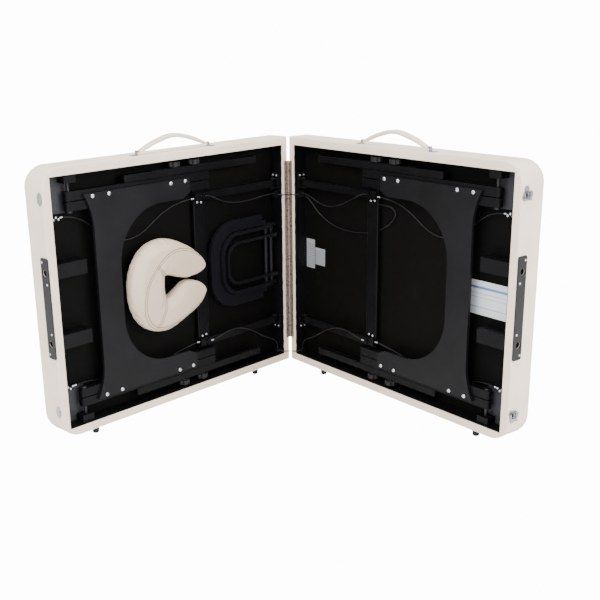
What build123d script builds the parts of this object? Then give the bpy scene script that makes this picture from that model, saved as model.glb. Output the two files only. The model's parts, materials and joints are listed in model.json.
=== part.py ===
"""Portable massage table: two padded halves joined by a piano hinge, standing on edge, part open.

One half is drawn flat in its own frame and then turned about the hinge line.
In that frame s (X) runs from the hinge to the outer end, t (Y) runs from the
underside to the padded top, and z is height above the floor.
All lengths are millimetres, all angles degrees.
"""
from build123d import *
import os
from math import cos, radians, sin, tan

# ---------------------------------------------------------------- driving dimensions
HALF_LENGTH = 927.0  # 73 in table, one half
TABLE_WIDTH = 762.0  # 30 in table
FOOT_HEIGHT = 16.0
HALF_OPENING = 41.24  # each half's angle from the table's plane of symmetry
HINGE_Y = 315.25  # hinge line, behind the origin at the middle of the footprint
FOLD_GAP = 0.3  # each half stays this far behind the closing plane
HINGE_GAP = 3.8  # and its hinge-side edge this far from the hinge line

COVER = 1.5  # vinyl thickness
RAIL_DEPTH = 48.0  # from the underside to the deck
DECK = 4.0
THICKNESS = 110.0  # underside to the top of the padding
END_RAIL = 25.5
SIDE_RAIL = 26.5
HINGE_RAIL = 32.0
CORNER_RADIUS = 60.0  # outer corners in plan
EDGE_RADIUS = 34.0  # rolled edge of the padding
HINGE_EDGE_RADIUS = 6.0

LOW_Z = FOOT_HEIGHT
HIGH_Z = FOOT_HEIGHT + TABLE_WIDTH
MID_Z = (LOW_Z + HIGH_Z) / 2

# legs, folded flat in the underside
PIVOT_S, PIVOT_T = 834.0, 24.0
PIVOT_RADIUS = 4.95
PIVOT_CLEARANCE = 0.06
LEG_END_S = 848.0
LEG_TIP_S = 337.0
LEG_FRONT_T, LEG_BACK_T = 13.0, 35.0
SLAT_Z = (680.0, 705.0)  # slat that carries the bolts and the extension
STIFFENER_Z = (652.0, 677.0)
PANEL_T = (4.0, 13.0)
PANEL_BOLT_S = (438.0, 493.0, 714.0, 769.0)
PANEL_BOLT_Z = 686.0
EXTENSION_S = (147.0, 652.0)
EXTENSION_Z = (706.0, 727.0)
EXTENSION_TIP = 12.0
KNOB_S = (388.0, 464.0)
KNOB_RADIUS = 19.0
STUD_RADIUS = 3.95
EXTEND_OUT, EXTEND_IN = 75.0, 150.0

# braces that swing down from the hinge side
BRACE_S, BRACE_T = 52.0, 24.5
STRUT_Z = (618.0, 640.0)
STRUT_T = (19.0, 30.0)
CROSSBAR_S = (342.0, 388.0)
CROSSBAR_T = (30.0, 41.0)
CROSSBAR_HALF = 252.0

# hinge
HINGE_HALF = 302.0
BARREL_RADIUS = 3.0
HINGE_PIN_RADIUS = 1.25
LEAF_T = (0.4, 1.5)
LEAF_WIDTH = 18.0
KNUCKLES = 30
LEAF_START_S = 3.6
HINGE_SCREW_S = 11.5
HINGE_SCREW_Z = [MID_Z - HINGE_HALF + 40 + 75 * i for i in range(8)]

# sockets for the face cradle's posts
SOCKET_SPACING = 200.0
SOCKET_T = 21.0
SOCKET_RADIUS = 9.5
SOCKET_START_S = 803.0
STRIP_T = (0.8, 35.0)
STRIP_HALF = 142.0
STRIP_SCREWS = ((28.5, 130.0), (11.0, 70.0))  # t, and height above and below the middle

# carrying handles, latches and the stored face rest
HANDLE_S = (347.0, 593.0)
HANDLE_T = 14.0
HANDLE_PIN_Z = HIGH_Z + 10.2
HANDLE_RISE = 41.0
LATCH_T = 15.0
LATCH_Z = MID_Z + 300
CRADLE_MID_Z = MID_Z - 3
CRADLE_POST_Z = 98.0

CABLE_RADIUS = 1.6

os.makedirs("parts", exist_ok=True)


# ---------------------------------------------------------------- small helpers
def block(s0, s1, t0, t1, z0, z1):
    """A box between two corners."""
    return Pos((s0 + s1) / 2, (t0 + t1) / 2, (z0 + z1) / 2) * Box(s1 - s0, t1 - t0, z1 - z0)


def rod(axis, radius, a, b, start, end):
    """A cylinder along "s", "t" or "z"; a and b are its other two coordinates, in s, t, z order."""
    middle = (start + end) / 2
    place, turn = {
        "s": (Pos(middle, a, b), Rot(0, 90, 0)),
        "t": (Pos(a, middle, b), Rot(90, 0, 0)),
        "z": (Pos(a, b, middle), Rot(0, 0, 0)),
    }[axis]
    return place * turn * Cylinder(radius, end - start)


def above_and_below(*solids):
    """The same solids in the upper part of a half and, mirrored, in the lower part."""
    middle = Plane.XY.offset(MID_Z)
    return [*solids, *(mirror(solid, about=middle) for solid in solids)]


def cut(body, *tools):
    for tool in tools:
        body = body - tool
    return body


def solids_of(shapes):
    return [solid for shape in shapes for solid in shape.solids()]


def save(name, shapes):
    export_step(Compound(children=solids_of(shapes)), f"parts/{name}.step")


def to_world(shape, side):
    """Turn a shape from the half's flat frame about the hinge; the left half is the right one mirrored."""
    placed = Pos(0, HINGE_Y, 0) * Rot(0, 0, HALF_OPENING - 90) * shape
    return placed if side == "right" else mirror(placed, about=Plane.YZ)


def save_half(name, side, shapes):
    save(f"{name}_{side}", [to_world(shape, side) for shape in shapes])


def save_both(name, shapes):
    for side in ("left", "right"):
        save_half(name, side, shapes)


# ---------------------------------------------------------------- padded half
def padded_block(inset, t0, t1):
    """The half's outer form, pulled in by inset: round outer corners and a rolled padding edge."""
    s0, s1 = HINGE_GAP + inset, HALF_LENGTH - inset
    z0, z1 = LOW_Z + inset, HIGH_Z - inset
    top = THICKNESS - inset
    plan = block(s0, s1, t0, t1, z0, z1)
    corners = plan.edges().filter_by(Axis.Y).sort_by(Axis.X)[-2:]
    plan = fillet(corners, CORNER_RADIUS - inset)
    across = block(s0, s1, t0 - 1, top, z0, z1)
    rolled = across.edges().filter_by(Axis.X).sort_by(Axis.Y)[-2:]
    across = fillet(rolled, EDGE_RADIUS - inset)
    along = block(s0, s1, t0 - 1, top, z0, z1)
    ends = along.edges().filter_by(Axis.Z).sort_by(Axis.Y)[-2:].sort_by(Axis.X)
    along = fillet([ends[1]], EDGE_RADIUS - inset)
    hinge_end = along.edges().filter_by(Axis.Z).sort_by(Axis.X)[:2].sort_by(Axis.Y)[-1]
    along = fillet([hinge_end], HINGE_EDGE_RADIUS)
    return plan & across & along


def hollow():
    """The open underside between the rails."""
    return block(HINGE_RAIL + COVER, HALF_LENGTH - COVER - END_RAIL, -1, RAIL_DEPTH,
                 LOW_Z + COVER + SIDE_RAIL, HIGH_Z - COVER - SIDE_RAIL)


def hinge_notch():
    """Room in the hinge-side edge for the leaf."""
    return block(-1, LEAF_WIDTH + 0.5, -1, LEAF_T[1], MID_Z - HINGE_HALF - 1, MID_Z + HINGE_HALF + 1)


def socket_bores(radius=SOCKET_RADIUS):
    offset = SOCKET_SPACING / 2
    return [rod("s", radius, SOCKET_T, MID_Z + z, SOCKET_START_S + 10, HALF_LENGTH + 5)
            for z in (-offset, offset)]


def hinge_screws():
    """Countersunk screws that hold a leaf, flush with it."""
    screws = []
    for z in HINGE_SCREW_Z:
        head = rod("t", 3.0, HINGE_SCREW_S, z, LEAF_T[0] + 0.05, LEAF_T[1])
        shank = rod("t", 1.5, HINGE_SCREW_S, z, LEAF_T[1], 15)
        screws.append(head + shank)
    return screws


def strip_screws():
    """Screws through the outlet strip into the end rail."""
    screws = []
    for t, z in STRIP_SCREWS:
        head = rod("s", 3.5, t, MID_Z + z, HALF_LENGTH + 3, HALF_LENGTH + 4.5)
        shank = rod("s", 1.8, t, MID_Z + z, HALF_LENGTH - 20, HALF_LENGTH + 3)
        screws.append(head + shank)
    return above_and_below(*screws)


def pivot_bolts():
    """The bolts that the leg frame turns on."""
    head = rod("z", 9, PIVOT_S, PIVOT_T, 646, STIFFENER_Z[0] - 0.4)
    shank = rod("z", PIVOT_RADIUS, PIVOT_S, PIVOT_T, STIFFENER_Z[0] - 0.4, 744)
    return above_and_below(head + shank)


def make_frame():
    rails = padded_block(COVER, COVER, RAIL_DEPTH) - hollow()
    rails = cut(rails, hinge_notch(), *socket_bores(), *hinge_screws(), *strip_screws())
    inner_low, inner_high = LOW_Z + COVER + SIDE_RAIL, HIGH_Z - COVER - SIDE_RAIL
    lower = rails & block(-5, HALF_LENGTH, -5, RAIL_DEPTH, 0, inner_low)
    upper = rails & block(-5, HALF_LENGTH, -5, RAIL_DEPTH, inner_high, HIGH_Z)
    hinge_side = rails & block(-5, 300, -5, RAIL_DEPTH, inner_low, inner_high)
    outer_end = rails & block(300, HALF_LENGTH, -5, RAIL_DEPTH, inner_low, inner_high)
    save_both("frame_rails", [lower, upper, hinge_side, outer_end])
    save_both("deck_panel", [padded_block(COVER, RAIL_DEPTH, RAIL_DEPTH + DECK)])
    save_both("foam_pad", [padded_block(COVER, RAIL_DEPTH + DECK, THICKNESS)])
    save_both("frame_fasteners", [*hinge_screws(), *strip_screws(), *pivot_bolts()])


def make_cover():
    """Vinyl round the padding and the rails, turned under and stapled along the rails' underside."""
    skin = padded_block(0, FOLD_GAP, THICKNESS) - padded_block(COVER, -1, THICKNESS)
    lip = padded_block(0, FOLD_GAP, COVER)
    window = block(HINGE_RAIL - 2, HALF_LENGTH - END_RAIL + 1, -1, 5,
                   LOW_Z + SIDE_RAIL - 1, HIGH_Z - SIDE_RAIL + 1)
    cover = skin + (lip - window)
    cover = cut(cover, hinge_notch(), *socket_bores(), *strip_screws())
    save_both("vinyl_cover", [cover])


def make_blocks():
    """Gussets in the outer corners, the blocks that hold the leg pivots, and the cradle sockets."""
    inner_high = HIGH_Z - COVER - SIDE_RAIL
    inner_end = HALF_LENGTH - COVER - END_RAIL
    gusset = block(815, inner_end, 42.5, RAIL_DEPTH, 654, inner_high)
    pivot_block = block(816, 854, 8, 42.5, 729, inner_high)
    pivot_block = pivot_block - rod("z", PIVOT_RADIUS, PIVOT_S, PIVOT_T, 700, 744)
    anchor = block(868, inner_end, 20, 36, 632, 644)
    half_width = 20.0
    sockets = []
    for offset in (-SOCKET_SPACING / 2, SOCKET_SPACING / 2):
        z = MID_Z + offset
        sockets.append(block(SOCKET_START_S, inner_end, 5, RAIL_DEPTH, z - half_width, z + half_width))
    sockets = [cut(one, *socket_bores()) for one in sockets]
    save_both("frame_blocks", [*above_and_below(gusset, pivot_block, anchor), *sockets])


def make_outlet_strip():
    """Black strip on the outer end with the two socket mouths."""
    strip = block(HALF_LENGTH, HALF_LENGTH + 3, *STRIP_T, MID_Z - STRIP_HALF, MID_Z + STRIP_HALF)
    strip = fillet(strip.edges().filter_by(Axis.X), 6)
    save_both("outlet_strip", [cut(strip, *socket_bores(), *strip_screws())])


def make_feet():
    """Round rubber feet under the lower edge."""
    feet = []
    for s in (160, 811):
        foot = Pos(s, 14, FOOT_HEIGHT / 2) * Cone(9.5, 11, FOOT_HEIGHT)
        feet.append(foot)
    save_both("rubber_feet", feet)


# ---------------------------------------------------------------- hinge
def make_hinge():
    """Piano hinge: each leaf owns every other knuckle on one pin."""
    low, high = MID_Z - HINGE_HALF, MID_Z + HINGE_HALF
    pitch = (high - low) / KNUCKLES
    for side, first in (("left", 0), ("right", 1)):
        leaf = block(LEAF_START_S, LEAF_WIDTH, *LEAF_T, low, high)
        for i in range(first, KNUCKLES, 2):
            z0, z1 = low + i * pitch + 0.15, low + (i + 1) * pitch - 0.15
            knuckle = rod("z", BARREL_RADIUS, 0, 0, z0, z1) + block(1.5, LEAF_START_S + 1, *LEAF_T, z0, z1)
            leaf = leaf + (knuckle - rod("z", HINGE_PIN_RADIUS + 0.05, 0, 0, z0 - 1, z1 + 1))
        save_half("hinge_leaf", side, [cut(leaf, *hinge_screws())])
    pin = rod("z", HINGE_PIN_RADIUS, 0, 0, low - 1, high + 1)
    save("hinge_pin", [to_world(pin, "left")])


# ---------------------------------------------------------------- leg frame
def panel_outline():
    """End panel between the legs: a wide arch open toward the hinge and a waisted outer edge."""
    z_top, z_low = MID_Z + 297, MID_Z - 297
    s_tip, s_out, s_waist = 421.0, 798.0, 771.0
    flare = 104.0
    arch_half, arch_radius, arch_s = 238.0, 157.0, 688.0
    notch_s, notch_z = 451.0, 253.0
    radius = (flare**2 + (s_out - s_waist) ** 2) / (2 * (s_out - s_waist))
    lines = [
        Line((s_tip, z_top), (s_out, z_top)),
        RadiusArc((s_out, z_top), (s_waist, z_top - flare), -radius),
        Line((s_waist, z_top - flare), (s_waist, z_low + flare)),
        RadiusArc((s_waist, z_low + flare), (s_out, z_low), -radius),
        Line((s_out, z_low), (s_tip, z_low)),
        Line((s_tip, z_low), (s_tip, MID_Z - notch_z)),
        Line((s_tip, MID_Z - notch_z), (notch_s, MID_Z - arch_half)),
        Line((notch_s, MID_Z - arch_half), (arch_s - arch_radius, MID_Z - arch_half)),
        RadiusArc((arch_s - arch_radius, MID_Z - arch_half),
                  (arch_s, MID_Z - arch_half + arch_radius), -arch_radius),
        Line((arch_s, MID_Z - arch_half + arch_radius), (arch_s, MID_Z + arch_half - arch_radius)),
        RadiusArc((arch_s, MID_Z + arch_half - arch_radius),
                  (arch_s - arch_radius, MID_Z + arch_half), -arch_radius),
        Line((arch_s - arch_radius, MID_Z + arch_half), (notch_s, MID_Z + arch_half)),
        Line((notch_s, MID_Z + arch_half), (s_tip, MID_Z + notch_z)),
        Line((s_tip, MID_Z + notch_z), (s_tip, z_top)),
    ]
    return make_face(Curve() + lines)


def panel_bolts():
    """Round-headed bolts through the panel into the leg slats."""
    bolts = []
    for s in PANEL_BOLT_S:
        head = rod("t", 6.0, s, PANEL_BOLT_Z, PANEL_T[0] - 3, PANEL_T[0])
        head = fillet(head.edges().sort_by(Axis.Y)[:1], 1.8)
        shank = rod("t", 3.0, s, PANEL_BOLT_Z, PANEL_T[0], LEG_BACK_T - 3)
        bolts.append(head + shank)
    return above_and_below(*bolts)


def knob_stud(s, radius):
    return rod("z", radius, s, PIVOT_T, SLAT_Z[0] + 4, EXTENSION_Z[1] + 3)


def make_leg_frame():
    bore = rod("z", PIVOT_RADIUS + PIVOT_CLEARANCE, PIVOT_S, PIVOT_T, STIFFENER_Z[0] - 5, 745)
    slats = []
    for z0, z1 in (SLAT_Z, STIFFENER_Z):
        slat = block(LEG_TIP_S, LEG_END_S, LEG_FRONT_T, LEG_BACK_T, z0, z1)
        ends = slat.edges().filter_by(Axis.Z).sort_by(Axis.X)[-2:]
        slats.append(fillet(ends, 9) - bore)
    slats[0] = cut(slats[0], *(knob_stud(s, STUD_RADIUS + 0.08) for s in KNOB_S))
    slats = [cut(slat, *panel_bolts()) for slat in slats]
    save_both("upper_legs", above_and_below(*slats))

    face = panel_outline()
    turned = Plane(origin=(0, PANEL_T[1], 0), x_dir=(1, 0, 0), z_dir=(0, -1, 0))
    panel = turned * extrude(face, PANEL_T[1] - PANEL_T[0])
    save_both("end_panel", [cut(panel, *panel_bolts())])
    save_both("panel_bolts", panel_bolts())


def make_extensions():
    """Lower legs that slide beside the slats, held by two knobs through a slot."""
    slot_low = KNOB_S[0] - EXTEND_IN - 5
    slot_high = KNOB_S[1] + EXTEND_OUT + 5
    half_slot = STUD_RADIUS + 0.4
    z0, z1 = EXTENSION_Z
    leg = block(*EXTENSION_S, LEG_FRONT_T, LEG_BACK_T, z0, z1)
    slot = block(slot_low, slot_high, PIVOT_T - half_slot, PIVOT_T + half_slot, z0 - 1, z1 + 1)
    leg = fillet(leg.edges().filter_by(Axis.Z).sort_by(Axis.X)[-2:], 4) - slot
    tip_s = EXTENSION_S[0] - EXTENSION_TIP
    tip = block(tip_s, EXTENSION_S[0], LEG_FRONT_T - 1, LEG_BACK_T + 1, z0 + 0.2, z1 + 1.5)
    tip = fillet(tip.edges().group_by(Axis.X)[0], 3)
    pieces = above_and_below(leg, tip)
    save_both("extension_leg_top", pieces[:2])
    save_both("extension_leg_bottom", pieces[2:])


def star_knob(s):
    """Five-lobed clamping knob on its stud."""
    z0 = EXTENSION_Z[1] + 0.6
    z1 = z0 + 17
    knob = rod("z", KNOB_RADIUS, s, PIVOT_T, z0 + 3, z1)
    for i in range(5):
        turn = radians(72 * i + 36)
        gap = KNOB_RADIUS + 5
        knob = knob - rod("z", 8, s + gap * cos(turn), PIVOT_T + gap * sin(turn), z0, z1 + 1)
    washer = rod("z", 9, s, PIVOT_T, z0, z0 + 3)
    return knob + washer + knob_stud(s, STUD_RADIUS)


def make_knobs():
    for number, s in enumerate(KNOB_S, 1):
        upper, lower = above_and_below(star_knob(s))
        save_both(f"leg_knob_top_{number}", [upper])
        save_both(f"leg_knob_bottom_{number}", [lower])


# ---------------------------------------------------------------- braces
def make_braces():
    pin_radius = 4.0
    z0, z1 = STRUT_Z
    bore = rod("z", pin_radius + 0.06, BRACE_S, BRACE_T, z0 - 1, z1 + 1)
    strut = block(BRACE_S - 9, CROSSBAR_S[1], *STRUT_T, z0, z1)
    strut = fillet(strut.edges().filter_by(Axis.Z).sort_by(Axis.X)[:2], 5) - bore
    cable_eye = block(CROSSBAR_S[0] + 10, CROSSBAR_S[0] + 22, STRUT_T[0] - 5, STRUT_T[0], z0 + 3, z1 - 3)
    save_both("brace_struts", above_and_below(strut + cable_eye))

    bar = block(*CROSSBAR_S, *CROSSBAR_T, MID_Z - CROSSBAR_HALF, MID_Z + CROSSBAR_HALF)
    bar = fillet(bar.edges().filter_by(Axis.Z), 3)
    save_both("brace_crossbar", [bar])

    rail_face = HINGE_RAIL + COVER
    plate = block(rail_face, rail_face + 3, 12, 40, z0 - 5, z1 + 22)
    ears = [block(rail_face + 3, BRACE_S + 9, BRACE_T - 9, BRACE_T + 9, z, z + 3) for z in (z0 - 5, z1 + 2)]
    pin = rod("z", pin_radius, BRACE_S, BRACE_T, z0 - 7, z1 + 7)
    bracket = plate + ears[0] + ears[1] + pin
    for t, z in ((18, z1 + 14), (34, z1 + 14)):
        bracket = bracket + rod("s", 3, t, z, rail_face + 3, rail_face + 5)
    guide_top = block(rail_face, 46, 12, 28, 583, 604)
    guide_low = block(rail_face, 50, 12, 28, 48, 60)
    save_both("brace_brackets", [*above_and_below(bracket), guide_top, guide_low])


# ---------------------------------------------------------------- carrying handles
def make_handles():
    """A padded strap handle that swings on a pin through each plate."""
    s0, s1 = HANDLE_S
    path = Spline([(s0, HANDLE_T, HANDLE_PIN_Z), (s0 + 45, HANDLE_T, HIGH_Z + 25),
                   ((s0 + s1) / 2, HANDLE_T, HIGH_Z + HANDLE_RISE), (s1 - 45, HANDLE_T, HIGH_Z + 25),
                   (s1, HANDLE_T, HANDLE_PIN_Z)])
    section = Plane(origin=path @ 0, z_dir=path % 0, x_dir=(0, 1, 0)) * RectangleRounded(18, 7, 3)
    handle = sweep(section, path=path)
    for s in HANDLE_S:
        handle = handle + rod("s", 3.5, HANDLE_T, HANDLE_PIN_Z, s - 9, s + 9)
    save_both("handle", [cut(handle, *(rod("s", 2.08, HANDLE_T, HANDLE_PIN_Z, s - 12, s + 12)
                                       for s in HANDLE_S))])
    plates = []
    for s, away in ((s0, -1), (s1, 1)):
        low, high = sorted((s + away * 34, s + away * 9))
        plate = block(low, high, HANDLE_T - 10, HANDLE_T + 10, HIGH_Z, HIGH_Z + 1.5)
        plate = fillet(plate.edges().filter_by(Axis.Z), 4)
        pin_low, pin_high = sorted((s - away * 8, s + away * 14))
        pin = rod("s", 2.0, HANDLE_T, HANDLE_PIN_Z, pin_low, pin_high)
        lug_low, lug_high = sorted((s + away * 11, s + away * 14))
        lug = block(lug_low, lug_high, HANDLE_T - 5, HANDLE_T + 5, HIGH_Z + 1.5, HANDLE_PIN_Z + 4)
        screw = rod("z", 3.5, s + away * 25, HANDLE_T, HIGH_Z + 1.5, HIGH_Z + 3)
        plates.append(plate + lug + pin + screw)
    save_both("handle_plates", plates)


# ---------------------------------------------------------------- latches on the outer ends
def make_latches():
    """Turn latches on the right half; their hooks reach the keepers on the left half."""
    face = HALF_LENGTH
    base = rod("s", 12, LATCH_T + 2, LATCH_Z, face, face + 3)
    for turn in (90, 210, 330):
        t, z = 13 * cos(radians(turn)), 15 * sin(radians(turn))
        base = base + rod("s", 8, LATCH_T + 2 - t * 0.6, LATCH_Z + z, face, face + 3)
    track = block(face + 3, face + 7, LATCH_T - 4, LATCH_T + 18, LATCH_Z - 9, LATCH_Z - 7)
    track_two = block(face + 3, face + 7, LATCH_T - 4, LATCH_T + 18, LATCH_Z + 7, LATCH_Z + 9)
    post = rod("s", 3.0, LATCH_T + 2, LATCH_Z, face + 3, face + 12)
    bases = above_and_below(base + track + track_two + post)
    save_half("latch_bases", "right", bases)

    hook = block(face + 3.3, face + 5.3, LATCH_T - 10, LATCH_T + 24, LATCH_Z - 6.4, LATCH_Z + 6.4)
    hook = hook + block(face + 5.3, face + 8, LATCH_T - 10, LATCH_T - 8, LATCH_Z - 6.4, LATCH_Z + 6.4)
    hook = hook - block(face, face + 9, LATCH_T - 7.4, LATCH_T + 21.5, LATCH_Z - 3.3, LATCH_Z + 3.3)
    upper, lower = above_and_below(hook)
    save_half("latch_hook_top", "right", [upper])
    save_half("latch_hook_bottom", "right", [lower])

    hub = rod("s", 6.5, LATCH_T + 2, LATCH_Z, face + 8.4, face + 12)
    wing = block(face + 9, face + 18, LATCH_T + 0.6, LATCH_T + 3.4, LATCH_Z - 13, LATCH_Z + 13)
    wing = fillet(wing.edges().filter_by(Axis.Y), 4)
    knob = (hub + wing) - rod("s", 3.06, LATCH_T + 2, LATCH_Z, face + 8, face + 12.1)
    upper, lower = above_and_below(knob)
    save_half("latch_knob_top", "right", [upper])
    save_half("latch_knob_bottom", "right", [lower])

    keeper = block(face, face + 2, 4, 26, LATCH_Z - 18, LATCH_Z + 18)
    keeper = chamfer(keeper.edges().filter_by(Axis.X), 9)
    lip = block(face + 2, face + 5, 6, 8, LATCH_Z - 7, LATCH_Z + 7)
    save_half("latch_keepers", "left", above_and_below(keeper + lip))


# ---------------------------------------------------------------- stored face rest
def u_ring(s_in, s_out, half_in, half_out, t0, t1):
    """A U lying flat, closed at its outer end and open toward the hinge."""
    outer = block(s_in, s_out, t0, t1, CRADLE_MID_Z - half_out, CRADLE_MID_Z + half_out)
    outer = fillet(outer.edges().filter_by(Axis.Y).sort_by(Axis.X)[-2:], half_out * 0.72)
    wall = half_out - half_in
    inner = block(s_in - 1, s_out - wall, t0 - 1, t1 + 1, CRADLE_MID_Z - half_in, CRADLE_MID_Z + half_in)
    inner = fillet(inner.edges().filter_by(Axis.Y).sort_by(Axis.X)[-2:], half_in * 0.72)
    return outer - inner


def make_cradle():
    """Folded face cradle: a padded platform ring, its adjusting bows and two socket posts."""
    middle = CRADLE_MID_Z
    platform = u_ring(104, 332, 104, 140, 22, 34)
    outer_bow = u_ring(70, 292, 92, 102, 12, 21.5)
    inner_bow = u_ring(58, 268, 62, 71, 14, 21.5)
    posts = [rod("s", 9, 31, middle + z, 40, 100) for z in (-CRADLE_POST_Z, CRADLE_POST_Z)]
    feet = [block(86, 104, 22, 40, middle + z - 10, middle + z + 10)
            for z in (-CRADLE_POST_Z - 12, CRADLE_POST_Z + 12)]
    bars = [rod("z", 7, s, 31, middle - CRADLE_POST_Z + 4, middle + CRADLE_POST_Z - 4) for s in (56, 80)]
    arms = [block(44, 74, 12, 21.5, middle + z - 6, middle + z + 6) for z in (-66.5, 66.5)]
    frame = platform + outer_bow + inner_bow
    for piece in (*posts, *feet, *bars, *arms):
        frame = frame + piece
    for z in (-97, 97):
        frame = frame + block(70, 104, 20, 24, middle + z - 5, middle + z + 5)
    for z in (-66.5, 66.5):
        frame = frame + block(58, 72, 20, 26, middle + z - 4.5, middle + z + 4.5)
    save_half("face_cradle", "left", [frame])


def make_cushion():
    """Horseshoe face cushion, kept in the arch of the left leg panel."""
    s_mid, z_mid = 516.0, MID_Z - 5
    outer, inner = 158.0, 52.0
    t0, t1 = -24.0, 28.0
    ring = rod("t", outer, s_mid, z_mid, t0, t1)
    ring = fillet(ring.edges(), 20)
    hole = rod("t", inner, s_mid, z_mid, t0 - 1, t1 + 1)
    mouth = block(s_mid - outer - 5, s_mid, t0 - 1, t1 + 1, z_mid - 22, z_mid + 22)
    save_half("face_cushion", "left", [ring - hole - mouth])


# ---------------------------------------------------------------- cables
# Routes in s, t, z.  Each hangs slack from the brace frame, which pulls it tight as it swings down.
OUTER_TOP = [(388.4, 24.5, 625), (408, 24.7, 625), (434, 30, 621), (464, 36, 613), (497, 39.5, 599),
             (530, 41, 580), (562, 42, 557), (600, 42, 540), (645, 42, 536), (690, 41, 548),
             (730, 39, 575), (764, 36, 603), (800, 32, 626), (840, 28.6, 637.6), (867.8, 28, 638)]
OUTER_BOTTOM = [(388.4, 24.5, 169), (408, 24.8, 168.8), (436, 31, 161), (472, 38, 152), (512, 41.5, 139),
                (552, 42, 124), (596, 42, 112), (642, 42, 108), (688, 42, 113), (730, 42, 126),
                (768, 40.5, 142), (802, 35, 153), (840, 28.6, 156.2), (867.8, 28, 156)]
INNER_TOP_LEFT = [(351.6, 16.5, 629), (334, 16.4, 628.5), (306, 14, 614), (268, 18, 599), (222, 21, 590),
                  (176, 22, 588), (130, 21, 591), (92, 18, 596), (64, 17.1, 597), (46.2, 17, 597)]
INNER_TOP_RIGHT = [(351.6, 16.5, 629), (334, 16.4, 628.5), (306, 14, 614), (268, 18, 596), (226, 21, 579),
                   (184, 22.5, 568), (142, 22.5, 569), (106, 20, 582), (78, 17.6, 595), (46.2, 17, 598.8)]
SLACK_TOP_RIGHT = [(46.2, 22, 588), (68, 22.4, 587), (88, 26, 568), (108, 30, 546), (134, 34, 526),
                   (170, 38, 508), (212, 41, 499), (258, 43, 496), (304, 44.5, 499), (350, 44.5, 508),
                   (398, 44.3, 526), (436, 43, 553), (454, 41, 577), (445, 37.5, 596), (422, 35.6, 600.6),
                   (388.4, 35.5, 600)]
INNER_BOTTOM = [(351.6, 16.5, 165), (334, 16.4, 165.4), (306, 12.6, 173), (272, 12, 181), (236, 12, 181),
                (200, 12, 171), (164, 13, 153), (132, 14, 132), (102, 15, 115), (74, 16.5, 103),
                (54, 17.6, 90), (45, 18, 76), (44.6, 18, 60.2)]
CROSS_RUN = [(41.5, 17), (41, 8), (36, -1), (25, -5.5)]
CROSS_MIDDLE = -17.0
CROSS_SHORT = 5.6


def cable(points):
    """A thin tube on straight runs joined by tangent arcs, with its tightest radius printed."""
    vectors = [Vector(*point) for point in points]
    radii = []
    for before, at, after in zip(vectors, vectors[1:], vectors[2:]):
        turn = (at - before).get_angle(after - at)
        shorter = min((at - before).length, (after - at).length)
        radii.append(0.45 * shorter / tan(radians(turn) / 2))
    path = FilletPolyline(*vectors, radius=radii)
    section = Plane(origin=path @ 0, z_dir=path % 0) * Circle(CABLE_RADIUS)
    tube = sweep(section, path=path)
    ratio = tube.volume / (section.area * path.length)
    print(f"cable {path.length:.0f} mm long, tightest bend {min(radii):.0f} mm, volume ratio {ratio:.4f}")
    return tube


def hinge_crossing(z, drop):
    """The cable's route over the hinge, from the left guide to just short of the right one."""
    angle = radians(HALF_OPENING)
    left = []
    for i, (s, t) in enumerate(CROSS_RUN):
        height = z - drop * i / len(CROSS_RUN)
        left.append((-s * sin(angle) - t * cos(angle), HINGE_Y - s * cos(angle) + t * sin(angle), height))
    right = [(-x, y, height) for x, y, height in reversed(left)]
    end, before = right[-1], right[-2]
    short = CROSS_SHORT / (Vector(*end) - Vector(*before)).length
    right[-1] = tuple(e + (b - e) * short for e, b in zip(end, before))
    return [*left, (0, HINGE_Y + CROSS_MIDDLE, z - drop), *right]


def make_cables():
    outer = [cable(OUTER_TOP), cable(OUTER_BOTTOM)]
    save_both("cable_outer", outer)
    bottom = cable(INNER_BOTTOM)
    save_half("cable_inner", "left", [cable(INNER_TOP_LEFT), bottom])
    save_half("cable_inner", "right", [cable(INNER_TOP_RIGHT), cable(SLACK_TOP_RIGHT), bottom])
    save("cable_crossing", [cable(hinge_crossing(594, 4)), cable(hinge_crossing(54, 6))])


if __name__ == "__main__":
    make_frame()
    make_cover()
    make_blocks()
    make_outlet_strip()
    make_feet()
    make_hinge()
    make_leg_frame()
    make_extensions()
    make_knobs()
    make_braces()
    make_handles()
    make_latches()
    make_cradle()
    make_cushion()
    make_cables()
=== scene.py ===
"""Portable massage table standing part open: padded halves, folded legs, face rest, cables and finishes.

Shapes are drawn in each half's flat frame, in millimetres: s runs from the hinge to the outer end,
t from the underside to the padded top, and z is height above the floor.
"""

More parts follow.
